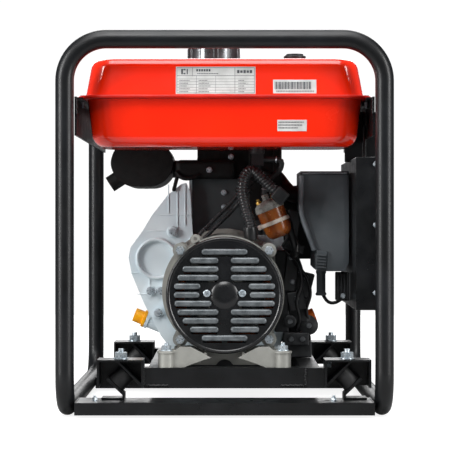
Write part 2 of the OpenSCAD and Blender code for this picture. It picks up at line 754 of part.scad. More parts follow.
module recoil_cover() color("#1d1e20") difference() {
    union() {
        rod_y(100, 0, crank_z, y_recoil, y_recoil + 6);
        rod_y(88, 0, crank_z, y_recoil, y_recoil + recoil_l);
        along_y(y_recoil, 3) difference() {
            fan_outline(0);
            translate([0, crank_z]) circle(86);
        }
    }
    rod_y(85, 0, crank_z, y_recoil - 1, y_recoil + recoil_l - 3);
    for (a = [15:30:345]) translate([0, 0, crank_z]) rotate([0, a, 0])
        translate([52, y_recoil + recoil_l - 5, -4]) cube([26, 8, 8]);
    rod_x(5, pulley_y, rope_z, -120, -40);
    rod_y(8, 0, crank_z, y_recoil, y_recoil + recoil_l + 1);
}

module recoil_pulley() color("#3c3f42") difference() {
    union() {
        for (y = [pulley_y - 8, pulley_y + 5]) rod_y(pulley_r + 7, 0, crank_z, y, y + 3);
        rod_y(pulley_r, 0, crank_z, pulley_y - 6, pulley_y + 6);
    }
    rod_y(8 + run, 0, crank_z, pulley_y - 20, pulley_y + 20);
    for (a = [0:60:300]) translate([0, 0, crank_z]) rotate([0, a, 0])
        rod_y(9, 28, 0, pulley_y - 20, pulley_y + 20);
}

module starter_handle() color("#1b1c1d") {
    rod_x(rope_r, pulley_y, rope_z, -104, 38);
    rod_x(8, pulley_y, rope_z, -112, -96);
    rod_y(12, -120, rope_z, pulley_y - 38, pulley_y + 38);
}

module at_oil(s) mirror([s > 0 ? 1 : 0, 0, 0]) translate([-oil_from[0], oil_y, oil_from[1] + crank_z - 175])
    rotate([0, -90 + oil_tilt, 0]) children();
module oil_holes(r) for (s = [-1, 1]) at_oil(s) translate([0, 0, -1]) cylinder(r = r, h = 60);

module oil_filler_necks() color("#b9bcbe") for (s = [-1, 1]) at_oil(s) difference() {
    union() {
        cylinder(r = oil_r, h = oil_len);
        translate([0, 0, oil_len - 5]) cylinder(r = oil_r + 2, h = 5);
    }
    translate([0, 0, 4]) cylinder(r = 9, h = oil_len);
}

module oil_cap(s) at_oil(s) {
    translate([0, 0, oil_len + 0.05]) cylinder(r = oil_r + 2, h = 5);
    translate([0, 0, oil_len + 5]) cylinder(r = oil_r - 1, h = 15, $fn = 12);
    translate([0, 0, oil_len - 12]) cylinder(r = 9 - run, h = 13);
    translate([0, 0, oil_len - 34]) cylinder(r = 2, h = 30);
}
module oil_cap_left() color("#f0a818") oil_cap(-1);
module oil_cap_right() color("#e8761c") oil_cap(1);

module starter_motor() color("#1c1d1f") translate([start_at[0], 0, start_at[1]]) {
    rod_y(23, 0, 0, y_cowl - 86, y_cowl - 10);
    rod_y(20, 0, 0, y_cowl - 90, y_cowl);
    rod_y(11, 20, 33, y_cowl - 76, y_cowl - 22);
    translate([2, y_cowl - 60, 14]) cube([22, 30, 20]);
}

// ---------- exhaust and intake ----------

module oval(w, h) {
    square([w - h, h], center = true);
    for (s = [-1, 1]) translate([s * (w - h) / 2, 0]) circle(h / 2);
}

module muffler() color("#1a1b1c") {
    difference() {
        union() {
            along_y(muf_y, muf_l) translate([muf_x, muf_z]) oval(muf_w, muffler_h);
            translate([muf_x, muf_y + 24, muf_z]) rotate([0, -123, 0]) cylinder(r = 13, h = 62);
        }
        along_y(muf_y + 2, muf_l - 4) translate([muf_x, muf_z]) oval(muf_w - 4, muffler_h - 4);
        translate([muf_x, muf_y + 24, muf_z]) rotate([0, -123, 0]) cylinder(r = 11.5, h = 63);
    }
    rod_x(14, y_cyl, deck_z + 24, muf_x + muf_w / 2 - 2, -53);
    for (s = [-1, 1]) rod_x(5, y_cyl + s * 18, deck_z + 24, -62, -53);
}

module air_outline() polygon([[0, air_h], [air_w, air_h], [air_w, 14], [air_w - 6, 0], [28, 0], [22, 6],
    [22, 34], [0, 90]]);
module air_cleaner_case() color("#2a2c2e") difference() {
    translate([air_x, 0, air_z]) along_y(air_y + 26, air_l - 26) air_outline();
    translate([air_x, 0, air_z]) along_y(air_y + 20, air_l - 23) translate([air_w / 2, air_h / 2])
        scale(0.93) translate([-air_w / 2, -air_h / 2]) air_outline();
    translate([air_x - 5, y_cyl - 40, air_z + 118]) rotate([0, 90, 0]) cylinder(r = 18, h = 10);
}

module air_cleaner_cover() color("#2e3032") translate([air_x, 0, air_z]) difference() {
    along_y(air_y, 26) air_outline();
    along_y(air_y + 3, 26) translate([air_w / 2, air_h / 2]) scale(0.93)
        translate([-air_w / 2, -air_h / 2]) air_outline();
}

elbow_z = air_z + 118;
module intake_elbow() color("#1f2123") hose(curve([air_x + 2, y_cyl - 40, elbow_z],
    [air_x - 30, y_cyl - 40, elbow_z], [air_x - 20, y_cyl, deck_z + 24], [46, y_cyl, deck_z + 24], 14), 13, 12);

// ---------- wiring ----------

up = crank_z - 175;
module wiring_conduit() color("#2b2d2f") {
    hose(curve([-34, -128, 263 + up], [-20, -128, 276 + up], [18, -128, 306 + up], [38, -140, 336 + up], 10), 4);
    hose([for (p = [[39, -212, 267], [38, -208, 282], [32, -203, 302], [27, -199, 324], [27, -197, 340],
        [31, -194, 353], [37, -192, 360], [44, -191, 360], [54, -191, 351], [66, -191, 339],
        [79, -192, 327]]) p + [0, 0, up]], conduit_r, 12);
}

// ---------- control box ----------

module control_box() color("#1e2022") difference() {
    union() {
        translate([panel_x0, panel_y, panel_z]) cube([panel_x - panel_x0 - 2.5, panel_l, panel_h]);
        for (t = [0, 1]) translate([hanger_x, panel_y + 60 + t * 200, panel_z + panel_h - 1])
            cube([steel, 30, hanger_h]);
    }
    translate([panel_x0 + 2, panel_y + 2, panel_z + 2])
        cube([panel_x - panel_x0, panel_l - 4, panel_h - 4]);
}

module control_panel() color("#2a2c2e") difference() {
    translate([panel_x - 2.5, panel_y, panel_z]) cube([2.5, panel_l, panel_h]);
    for (y = sock_ys) rod_x(22, y, sock_z, panel_x - 5, panel_x + 1);
    rod_x(9, key_at[0], key_at[1], panel_x - 5, panel_x + 1);
    translate([panel_x - 5, toggle_at[0] - 9, toggle_at[1] - 18]) cube([8, 18, 36]);
    rod_x(4, reset_at[0], reset_at[1], panel_x - 5, panel_x + 1);
    translate([panel_x - 5, panel_y + 100, panel_z + 142]) cube([8, 44, 44]);
    rod_x(6, panel_y + 200, panel_z + 165, panel_x - 5, panel_x + 1);
}

module ac_sockets() color("#2c55a0") for (y = sock_ys) difference() {
    union() {
        rod_x(21.9, y, sock_z, panel_x - 18, panel_x);
        translate([panel_x, y - 27, sock_z - 27]) cube([7, 54, 54]);
    }
    rod_x(sock_r, y, sock_z, panel_x - 12, panel_x + 8);
    for (s = [-1, 1]) rod_x(2.4, y + s * 9.5, sock_z, panel_x - 17, panel_x);
}

lid_z = sock_z + 30;
module socket_lid(y) color("#2f5cae") {
    rod_x(25, y, sock_z, panel_x + 7.4, panel_x + 10.4);
    translate([panel_x + 7.4, y - 9, sock_z + 18]) cube([3, 18, lid_z - sock_z - 18]);
    translate([panel_x + 9, y - 12, lid_z]) rotate([-90, 0, 0]) cylinder(r = 2.4, h = 24);
}
module socket_lid_near() socket_lid(sock_ys[0]);
module socket_lid_far() socket_lid(sock_ys[1]);

module key_switch() color("#b4b8bb") {
    rod_x(9 - run, key_at[0], key_at[1], panel_x - 16, panel_x + 3);
    translate([panel_x + 2, key_at[0] - 1.2, key_at[1] - 7]) cube([11, 2.4, 14]);
}

module breaker_toggle() color("#16181a") {
    rod_y(6, panel_x - 3, toggle_at[1], toggle_at[0] - 6, toggle_at[0] + 6);
    translate([panel_x - 3, toggle_at[0] - 5, toggle_at[1] - 3]) cube([15, 10, 6]);
}

module reset_button() color("#c22f22") {
    rod_x(4 - run, reset_at[0], reset_at[1], panel_x - 10, panel_x + 5);
}

module panel_instruments() color("#17191b") {
    difference() {
        union() {
            translate([panel_x - 18, panel_y + 100.1, panel_z + 142.1]) cube([18, 43.8, 43.8]);
            translate([panel_x, panel_y + 97, panel_z + 139]) cube([4, 50, 50]);
        }
        rod_x(19, panel_y + 122, panel_z + 164, panel_x + 2, panel_x + 6);
    }
    rod_x(5.9, panel_y + 200, panel_z + 165, panel_x - 8, panel_x + 3);
    for (t = [-1, 1]) rod_x(5, panel_y + 300 + t * 11, panel_z + 58, panel_x, panel_x + 10);
    rod_x(5, panel_y + 300, panel_z + 24, panel_x, panel_x + 9);
}

// ---------- selection ----------

near_hoop();
far_hoop();
bottom_rails();
base_crossbars();
tank_rails();
engine_cradle();
mount_brackets();
rubber_mounts();
fasteners();
tank_upper_shell();
tank_lower_shell();
fuel_cap();
fuel_gauge();
fuel_tap();
fuel_tap_lever();
fuel_filter_bowl();
fuel_filter_head();
fuel_hoses();
alternator_end_cover();
alternator_end_bracket();
alternator_front_bracket();
stator_core();
stator_windings();
rotor();
bearings();
crankcase();
crankcase_cover();
crankshaft();
connecting_rod();
piston();
cylinder_barrel();
cylinder_head();
rocker_cover();
decompression_lever();
injection_pump();
speed_lever();
cooling_shroud();
fan_housing();
flywheel();
recoil_cover();
recoil_pulley();
starter_handle();
oil_filler_necks();
oil_cap_left();
oil_cap_right();
starter_motor();
muffler();
air_cleaner_case();
air_cleaner_cover();
intake_elbow();
wiring_conduit();
control_box();
control_panel();
ac_sockets();
socket_lid_near();
socket_lid_far();
key_switch();
breaker_toggle();
reset_button();
panel_instruments();
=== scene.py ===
"""Looks of an open-frame portable generating set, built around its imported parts.

Metres, +Z up, +X is the control box side and -Y the alternator end.
"""

import math

import bpy
from mathutils import Matrix, Vector
from mathutils.geometry import interpolate_bezier


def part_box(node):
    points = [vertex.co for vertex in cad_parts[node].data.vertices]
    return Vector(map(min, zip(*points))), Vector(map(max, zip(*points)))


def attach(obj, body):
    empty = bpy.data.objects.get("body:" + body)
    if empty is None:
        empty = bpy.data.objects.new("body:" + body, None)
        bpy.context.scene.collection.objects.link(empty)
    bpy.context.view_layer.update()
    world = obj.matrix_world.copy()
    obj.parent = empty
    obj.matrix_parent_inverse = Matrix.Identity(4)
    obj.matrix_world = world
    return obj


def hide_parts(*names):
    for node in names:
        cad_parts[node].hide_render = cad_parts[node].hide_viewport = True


bl_info = {
    "name": "Portable generator looks",
    "version": (1, 0, 0),
    "blender": (4, 5, 0),
    "location": "View3D > Sidebar > Generator",
    "description": "Builds the visible pieces of an open-frame portable generating set",
    "category": "Object",
}

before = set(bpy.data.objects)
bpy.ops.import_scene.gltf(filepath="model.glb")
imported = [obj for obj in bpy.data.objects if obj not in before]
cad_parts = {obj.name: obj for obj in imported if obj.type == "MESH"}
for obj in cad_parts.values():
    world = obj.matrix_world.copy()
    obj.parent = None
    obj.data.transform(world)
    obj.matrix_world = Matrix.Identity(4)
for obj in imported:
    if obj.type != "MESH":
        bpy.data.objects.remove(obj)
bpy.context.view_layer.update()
FIXED = "frame_and_engine"


# ---------- small tools ----------

# The turn that points an upright piece's top at the near end of the set, along -y.
TO_NEAR = (math.pi / 2, 0, 0)


def linear(code, alpha=1.0):
    """The linear colour of an sRGB hex code."""
    parts = [int(code[i:i + 2], 16) / 255 for i in (0, 2, 4)]
    return tuple(c / 12.92 if c <= 0.04045 else ((c + 0.055) / 1.055) ** 2.4 for c in parts) + (alpha,)


def looks():
    return bpy.context.scene.generator_looks


def nothing_selected():
    if bpy.context.object and bpy.context.object.mode != "OBJECT":
        bpy.ops.object.mode_set(mode="OBJECT")
    bpy.ops.object.select_all(action="DESELECT")


def only(piece):
    nothing_selected()
    piece.select_set(True)
    bpy.context.view_layer.objects.active = piece
    return piece


def cube(size, at, turn=(0, 0, 0)):
    nothing_selected()
    bpy.ops.mesh.primitive_cube_add(size=1, location=at, rotation=turn)
    piece = bpy.context.object
    piece.scale = size
    bpy.ops.object.transform_apply(location=False, rotation=False, scale=True)
    return piece


def cylinder(radius, depth, at, turn=(0, 0, 0), sides=48):
    nothing_selected()
    bpy.ops.mesh.primitive_cylinder_add(vertices=sides, radius=radius, depth=depth, location=at, rotation=turn)
    return bpy.context.object


def ring(major, minor, at, turn=(0, 0, 0), around=48, section=10):
    nothing_selected()
    bpy.ops.mesh.primitive_torus_add(major_segments=around, minor_segments=section, major_radius=major,
        minor_radius=minor, location=at, rotation=turn)
    return bpy.context.object


def placed(piece):
    only(piece)
    bpy.ops.object.transform_apply(location=True, rotation=True, scale=True)
    return piece


def pick(piece, test, kind="FACE"):
    """Selects the faces or edges that pass the test, in edit mode."""
    only(piece)
    mesh = piece.data
    bpy.ops.object.mode_set(mode="EDIT")
    bpy.ops.mesh.select_mode(type=kind)
    bpy.ops.mesh.select_all(action="DESELECT")
    bpy.ops.object.mode_set(mode="OBJECT")
    if kind == "FACE":
        for face in mesh.polygons:
            face.select = test(face.center, face.normal)
    else:
        for edge in mesh.edges:
            a, b = (mesh.vertices[i].co for i in edge.vertices)
            edge.select = test(a, b)
    bpy.ops.object.mode_set(mode="EDIT")


def done():
    bpy.ops.object.mode_set(mode="OBJECT")


def modified(piece, kind, **settings):
    """Adds a modifier with its settings and applies it."""
    only(piece)
    change = piece.modifiers.new(kind.title(), kind)
    for key, value in settings.items():
        setattr(change, key, value)
    bpy.ops.object.modifier_apply(modifier=change.name)
    return piece


def rounded(piece, width, steps=3, angle=35):
    return modified(piece, "BEVEL", width=width, segments=steps, limit_method="ANGLE",
        angle_limit=math.radians(angle), harden_normals=False)


def joined(pieces):
    nothing_selected()
    for piece in pieces:
        piece.select_set(True)
    bpy.context.view_layer.objects.active = pieces[0]
    bpy.ops.object.join()
    return placed(bpy.context.object)


def copied(piece, matrix):
    twin = piece.copy()
    twin.data = piece.data.copy()
    bpy.context.scene.collection.objects.link(twin)
    twin.data.transform(matrix)
    return twin


def cut(piece, cutters):
    tool = joined(cutters)
    modified(piece, "BOOLEAN", operation="DIFFERENCE", solver="EXACT", use_self=True, object=tool)
    bpy.data.objects.remove(tool)
    return piece


def merged_with(piece, tool):
    modified(piece, "BOOLEAN", operation="UNION", solver="EXACT", use_self=True, object=tool)
    bpy.data.objects.remove(tool)
    return piece


def smooth(piece, angle=35):
    only(piece)
    bpy.ops.object.shade_smooth_by_angle(angle=math.radians(angle))
    return piece


def finished(piece, name, material, body=FIXED, replaces=(), angle=35):
    """Names a piece, gives it its finish and lets it ride on its body."""
    placed(piece)
    smooth(piece, angle)
    modified(piece, "WEIGHTED_NORMAL", mode="FACE_AREA", keep_sharp=True)
    piece.name = name
    piece.data.name = name
    piece.data.materials.clear()
    piece.data.materials.append(bpy.data.materials[material])
    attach(piece, body)
    if replaces:
        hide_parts(*replaces)
    return piece


def turned(profile, at, turn=(0, 0, 0), sides=48):
    """A turned piece: the profile's (radius, height) pairs in millimetres, along its own upright axis."""
    nothing_selected()
    radius, level = profile[0]
    bpy.ops.mesh.primitive_circle_add(vertices=sides, radius=radius / 1000, fill_type="NGON",
        location=(0, 0, level / 1000))
    piece = placed(bpy.context.object)
    pick(piece, lambda c, n: True)
    for wide, high in profile[1:]:
        bpy.ops.mesh.extrude_region_move(TRANSFORM_OT_translate={"value": (0, 0, (high - level) / 1000)})
        bpy.ops.transform.resize(value=(wide / radius, wide / radius, 1), center_override=(0, 0, high / 1000))
        radius, level = wide, high
    bpy.ops.mesh.select_all(action="SELECT")
    bpy.ops.mesh.normals_make_consistent(inside=False)
    done()
    piece.location = at
    piece.rotation_euler = turn
    return placed(piece)


def hex_bolt(at, turn, across, high=None, studded=False):
    """A flanged hex head, or a nut with its stud, standing on the point and facing along the turned axis."""
    high = high or across * 0.6
    flange = turned([(across * 0.62, 0), (across * 0.66, across * 0.05), (across * 0.58, across * 0.14)],
        at, turn, 24)
    head = turned([(across * 0.575, across * 0.1), (across * 0.575, high * 0.86), (across * 0.5, high)], at, turn, 6)
    parts = [flange, head]
    if studded:
        parts.append(turned([(across * 0.3, 0), (across * 0.3, high * 1.5), (across * 0.24, high * 1.62)],
            at, turn, 16))
    return joined(parts)


def smooth_path(corners, step):
    """Evenly spaced points on a smooth curve through the given millimetre points."""
    knots = [Vector(p) / 1000 for p in corners]
    fine = []
    for i in range(len(knots) - 1):
        before = knots[max(i - 1, 0)]
        after = knots[min(i + 2, len(knots) - 1)]
        a, b = knots[i], knots[i + 1]
        fine += interpolate_bezier(a, a + (b - before) / 6, b - (after - a) / 6, b, 16)[:-1]
    fine.append(knots[-1])
    spaced, travelled = [fine[0]], 0.0
    for a, b in zip(fine, fine[1:]):
        travelled += (b - a).length
        if travelled >= step:
            spaced.append(b)
            travelled = 0.0
    if (fine[-1] - spaced[-1]).length > step / 3:
        spaced.append(fine[-1])
    return spaced


def ribbed(points, radius, pitch, depth):
    """A corrugated tube: a core and a ring at every pitch."""
    path = smooth_path(points, pitch)
    pieces = [tube(path, radius)]
    first = ring(radius, depth, (0, 0, 0), around=20, section=6)
    for a, b in zip(path, path[1:]):
        aim = (b - a).to_track_quat("Z", "Y").to_matrix().to_4x4()
        pieces.append(copied(first, Matrix.Translation((a + b) / 2) @ aim))
    bpy.data.objects.remove(first)
    return joined(pieces)


def tube(points, radius, around=12):
    """A mesh tube along the points, closed at both ends."""
    nothing_selected()
    line = bpy.data.curves.new("run", "CURVE")
    line.dimensions = "3D"
    line.bevel_depth = radius
    line.bevel_resolution = max(1, around // 4)
    line.use_fill_caps = True
    spline = line.splines.new("POLY")
    spline.points.add(len(points) - 1)
    for place, point in zip(spline.points, points):
        place.co = (*point, 1)
    piece = bpy.data.objects.new("run", line)
    bpy.context.scene.collection.objects.link(piece)
    only(piece)
    bpy.ops.object.convert(target="MESH")
    return bpy.context.object


def refined(node, width, steps=2, angle=32, flat=0.5):
    """A copy of a CAD node with its triangles merged and its sharp edges rounded."""
    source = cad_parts[node]
    piece = bpy.data.objects.new(node + "_copy", source.data.copy())
    bpy.context.scene.collection.objects.link(piece)
    only(piece)
    bpy.ops.object.mode_set(mode="EDIT")
    bpy.ops.mesh.select_all(action="SELECT")
    bpy.ops.mesh.remove_doubles(threshold=0.00002)
    bpy.ops.mesh.dissolve_limited(angle_limit=math.radians(flat))
    bpy.ops.object.mode_set(mode="OBJECT")
    bpy.ops.mesh.customdata_custom_splitnormals_clear()
    if width:
        rounded(piece, width, steps, angle)
    return piece


# ---------- materials ----------

def add(tree, kind, links=None, **settings):
    """Adds one node with its settings, input values and links."""
    node = tree.nodes.new(kind)
    for key, value in settings.items():
        if hasattr(node, key):
            setattr(node, key, value)
        else:
            node.inputs[key.replace("_", " ")].default_value = value
    for key, source in (links or {}).items():
        tree.links.new(source, node.inputs[key])
    return node


def material(name, roughness, metallic=0.0, **sockets):
    """A new material with its shader, its tree and object coordinates."""
    made = bpy.data.materials.new(name)
    made.use_nodes = True
    tree = made.node_tree
    shader = tree.nodes["Principled BSDF"]
    shader.inputs["Roughness"].default_value = roughness
    shader.inputs["Metallic"].default_value = metallic
    for key, value in sockets.items():
        shader.inputs[key.replace("_", " ")].default_value = value
    place = add(tree, "ShaderNodeTexCoord")
    return made, tree, shader, place.outputs["Object"]


def mottled(tree, shader, place, dark, light, size_mm, low=0.35, high=0.65, detail=4.0):
    """Colour that drifts between two shades over patches of the given size."""
    patch = add(tree, "ShaderNodeTexNoise", {"Vector": place}, Scale=1000 / size_mm, Detail=detail)
    ramp = add(tree, "ShaderNodeValToRGB", {"Fac": patch.outputs["Fac"]})
    ramp.color_ramp.elements[0].position = low
    ramp.color_ramp.elements[1].position = high
    ramp.color_ramp.elements[0].color = linear(dark)
    ramp.color_ramp.elements[1].color = linear(light)
    tree.links.new(ramp.outputs["Color"], shader.inputs["Base Color"])
    return ramp


def uneven_gloss(tree, shader, place, low, high, size_mm):
    """Roughness that varies over patches of the given size, as handling and dust leave it."""
    patch = add(tree, "ShaderNodeTexNoise", {"Vector": place}, Scale=1000 / size_mm, Detail=6.0)
    span = add(tree, "ShaderNodeMapRange", {"Value": patch.outputs["Fac"]}, From_Min=0.3, From_Max=0.7,
        To_Min=low, To_Max=high)
    tree.links.new(span.outputs["Result"], shader.inputs["Roughness"])


def skin(tree, shader, place, size_mm, depth_mm, kind="ShaderNodeTexNoise", **settings):
    """Surface relief with the given grain size and depth."""
    grain = add(tree, kind, {"Vector": place}, Scale=1000 / size_mm, **settings)
    out = grain.outputs.get("Fac") or grain.outputs["Distance"]
    bump = add(tree, "ShaderNodeBump", {"Height": out}, Distance=depth_mm / 1000, Strength=1.0)
    tree.links.new(bump.outputs["Normal"], shader.inputs["Normal"])
    return bump


def coat(name, roughness, metallic, shades, gloss, relief, **sockets):
    """The recipe most finishes share.

    shades is (dark, light, size), gloss (low, high, size) and relief (size, depth), with sizes in millimetres.
    """
    _, tree, shader, place = material(name, roughness, metallic, **sockets)
    mottled(tree, shader, place, *shades)
    uneven_gloss(tree, shader, place, *gloss)
    skin(tree, shader, place, *relief)


def make_materials():
    c = looks()
    hexes = c.paint_code, c.tank_code

    # Black powder coat, stoved on: satin, with the faint orange peel of the melted powder.
    coat("powder_coat_black", 0.34, 0.0, (hexes[0], "131518", 60), (0.34, 0.42, 45), (4.0, 0.004),
        Specular_IOR_Level=0.38)

    # The same coat on folded plate, a little flatter where the sheet was rolled.
    coat("powder_coat_plate", 0.42, 0.0, ("08090a", "111214", 45), (0.26, 0.42, 22), (1.2, 0.07),
        Specular_IOR_Level=0.35)

    # Acrylic enamel over primed sheet steel: orange-red with a clear, wet gloss.
    coat("tank_enamel", 0.24, 0.0, (hexes[1], "fb2c02", 180, 0.25, 0.75, 2.0), (0.18, 0.28, 60), (3.0, 0.02),
        Specular_IOR_Level=0.35, Coat_Weight=0.85, Coat_Roughness=0.03)

    # The same enamel on the rolled seam, painted deeper and duller: painted shade for the shadow along and under the
    # seam.
    coat("tank_seam_painted_shade_enamel", 0.4, 0.0, ("a80f04", "c81a06", 60), (0.35, 0.5, 20), (2.0, 0.02),
        Specular_IOR_Level=0.25)

    # Bright zinc plate on turned and rolled steel: bluish, slightly cloudy.
    coat("zinc_plate", 0.34, 0.7, ("a9b6bf", "d6dee3", 5), (0.2, 0.42, 3), (0.8, 0.02))

    # Satin chrome on spun steel: bright, with the soft haze of brushing.
    coat("chrome_plate", 0.3, 1.0, ("696b6d", "87898b", 40), (0.24, 0.38, 18), (6.0, 0.01))

    # Pressure-cast aluminium under silver engine paint: pale, finely pebbled.
    coat("cast_silver_paint", 0.42, 0.2, ("ccdae1", "dde7eb", 70, 0.3, 0.7, 2.0), (0.36, 0.52, 12), (1.1, 0.12))

    # Bare sand-cast aluminium: warm grey, rougher, with a visible grain.
    coat("cast_bare", 0.5, 0.45, ("8d8d88", "9f9f99", 40, 0.3, 0.7, 3.0), (0.42, 0.62, 8), (1.4, 0.2))

    # Cast cooling fins under dark grey heat paint.
    coat("cast_dark_paint", 0.5, 0.1, ("151719", "222426", 20), (0.42, 0.6, 10), (1.3, 0.14))

    # Pressed cover sheet, dark grey electrophoretic coat: low sheen.
    coat("cover_sheet_grey", 0.4, 0.15, ("2b2e30", "3d4043", 70), (0.32, 0.48, 20), (2.0, 0.06))

    # Pressed louvre plate, black stove enamel: even satin with soft highlights.
    coat("louvre_enamel", 0.38, 0.0, ("0b0c0d", "131416", 50), (0.2, 0.32, 18), (1.5, 0.04))

    # The louvres' crests: the same enamel painted paler and glossier, a painted highlight for the light that the
    # rounded bars catch.
    coat("louvre_painted_highlight_enamel", 0.3, 0.25, ("4a4f52", "6b7073", 12), (0.24, 0.38, 7), (1.5, 0.04))

    # Galvanised cowl sheet under thin grey primer, lightly brushed.
    coat("cowl_primer_grey", 0.42, 0.2, ("36393b", "45494b", 60), (0.34, 0.5, 14), (1.6, 0.05))

    # Silicone heat paint on the silencer: dead matt, sooty and uneven.
    coat("silencer_heat_paint", 0.62, 0.0, ("050505", "0c0b0b", 24), (0.5, 0.78, 9), (0.9, 0.12),
        Specular_IOR_Level=0.25)

    # Moulded polypropylene, charcoal grey: fine spark-eroded texture.
    coat("polypropylene_charcoal", 0.45, 0.0, ("3f4549", "4e5458", 55), (0.38, 0.55, 14), (0.9, 0.09))

    # The same polypropylene, paler and smoother: a painted highlight for the lit bevel along the air cleaner lid's
    # left and top edges.
    coat("polypropylene_painted_highlight", 0.4, 0.0, ("5a6065", "747a7f", 25), (0.32, 0.45, 10), (0.9, 0.05))

    # Moulded ABS, black, lightly grained.
    coat("abs_black", 0.4, 0.0, ("0a0b0c", "121315", 30), (0.32, 0.5, 9), (0.8, 0.06))

    # Cast or extruded nitrile rubber: dull, dusty black.
    coat("nitrile_rubber", 0.6, 0.0, ("0e0e0f", "1c1c1d", 12), (0.48, 0.72, 7), (0.9, 0.08))

    # Split polyethylene conduit: slightly waxy black.
    coat("conduit_polyethylene", 0.3, 0.0, ("191a1c", "292b2d", 18), (0.24, 0.36, 10), (1.0, 0.02))

    # Filter bowl, amber nylon: see-through, with light held inside the wall.
    _, tree, shader, place = material("amber_nylon", 0.22, Transmission_Weight=0.35, IOR=1.5,
        Subsurface_Weight=0.25, Subsurface_Scale=0.01)
    mottled(tree, shader, place, "8a4213", "b3662a", 22)
    uneven_gloss(tree, shader, place, 0.16, 0.3, 10)
    skin(tree, shader, place, 4.0, 0.03)

    # Filter hood, clear smoke-grey nylon.
    coat("smoke_nylon", 0.25, 0.0, ("8c8d88", "b6b6b0", 14), (0.2, 0.34, 8), (3.0, 0.03),
        Transmission_Weight=0.3, IOR=1.5)

    # Retaining strap, natural nylon: milky and slightly pink from the fuel.
    coat("natural_nylon", 0.35, 0.0, ("b3a79b", "cbc1b6", 10), (0.3, 0.45, 8), (2.0, 0.03),
        Subsurface_Weight=0.1, Subsurface_Scale=0.004)

    # Pleated filter paper inside the bowl.
    coat("filter_paper", 0.8, 0.0, ("b98a4c", "d8b27a", 5), (0.7, 0.9, 5), (0.8, 0.1))

    # Cast brass fittings, slightly tarnished.
    coat("cast_brass", 0.36, 1.0, ("8f6f35", "c9a45a", 7), (0.28, 0.5, 5), (1.0, 0.06))

    # Moulded caps in safety yellow and orange polyamide.
    for name, dark, light in (("polyamide_yellow", "f5a300", "ffb400"), ("polyamide_orange", "d9560a", "ef7417")):
        _, tree, shader, place = material(name, 0.36, Subsurface_Weight=0.05, Subsurface_Scale=0.004)
        mottled(tree, shader, place, dark, light, 14)
        uneven_gloss(tree, shader, place, 0.3, 0.45, 8)
        skin(tree, shader, place, 0.9, 0.05)

    # Machined steel: fine turning marks, lightly oiled.
    coat("machined_steel", 0.32, 1.0, ("6e7173", "9a9da0", 12), (0.24, 0.42, 6), (0.7, 0.03))

    # Piston alloy and other bright turned aluminium.
    coat("turned_aluminium", 0.3, 1.0, ("a6a9ab", "cfd2d3", 14), (0.24, 0.4, 6), (0.8, 0.03))

    # Stator laminations: half-millimetre sheets stacked along the shaft, drawn every 1.5 mm so that they show.
    _, tree, shader, place = material("stacked_laminations", 0.45, 0.9)
    mottled(tree, shader, place, "4b4d4f", "74777a", 18)
    wave = add(tree, "ShaderNodeTexWave", {"Vector": place}, bands_direction="Y", Scale=105.0, Distortion=0.4)
    bump = add(tree, "ShaderNodeBump", {"Height": wave.outputs["Fac"]}, Distance=0.0004, Strength=1.0)
    tree.links.new(bump.outputs["Normal"], shader.inputs["Normal"])

    # Enamelled copper wire, laid in turns about a millimetre thick.
    _, tree, shader, place = material("enamelled_copper", 0.3, 0.85)
    mottled(tree, shader, place, "7c3516", "b45a28", 9)
    wave = add(tree, "ShaderNodeTexWave", {"Vector": place}, bands_direction="DIAGONAL", Scale=150.0,
        Distortion=3.0)
    bump = add(tree, "ShaderNodeBump", {"Height": wave.outputs["Fac"]}, Distance=0.0005, Strength=1.0)
    tree.links.new(bump.outputs["Normal"], shader.inputs["Normal"])

    # Outlet mouldings, blue polycarbonate.
    coat("polycarbonate_blue", 0.34, 0.0, ("1d3f86", "2956ab", 25), (0.26, 0.4, 9), (0.9, 0.05))

    # Red thermoplastic knobs.
    coat("thermoplastic_red", 0.35, 0.0, ("a31c12", "c62b1c", 12), (0.28, 0.42, 6), (0.9, 0.05))

    # Stickers: white polyester film with pale print.
    coat("label_film", 0.32, 0.1, ("c4c4c2", "d8d8d6", 20), (0.26, 0.4, 12), (2.0, 0.01))

    # Screen-printed ink on the stickers.
    coat("label_ink", 0.5, 0.0, ("3a3c40", "54575c", 6), (0.42, 0.6, 4), (1.0, 0.01))

    # Studio floor: matt white acrylic table with a soft light under it.
    _, tree, shader, place = material("studio_floor", 0.75, Emission_Color=(1, 1, 1, 1))
    path = add(tree, "ShaderNodeLightPath")
    glow = add(tree, "ShaderNodeMapRange", {"Value": path.outputs["Is Camera Ray"]}, To_Min=0.04, To_Max=0.85)
    tree.links.new(glow.outputs["Result"], shader.inputs["Emission Strength"])
    mottled(tree, shader, place, "9a9a9a", "a4a4a4", 900)
    uneven_gloss(tree, shader, place, 0.65, 0.85, 300)
    skin(tree, shader, place, 8.0, 0.02)


# ---------- sizes and colours a user may change ----------

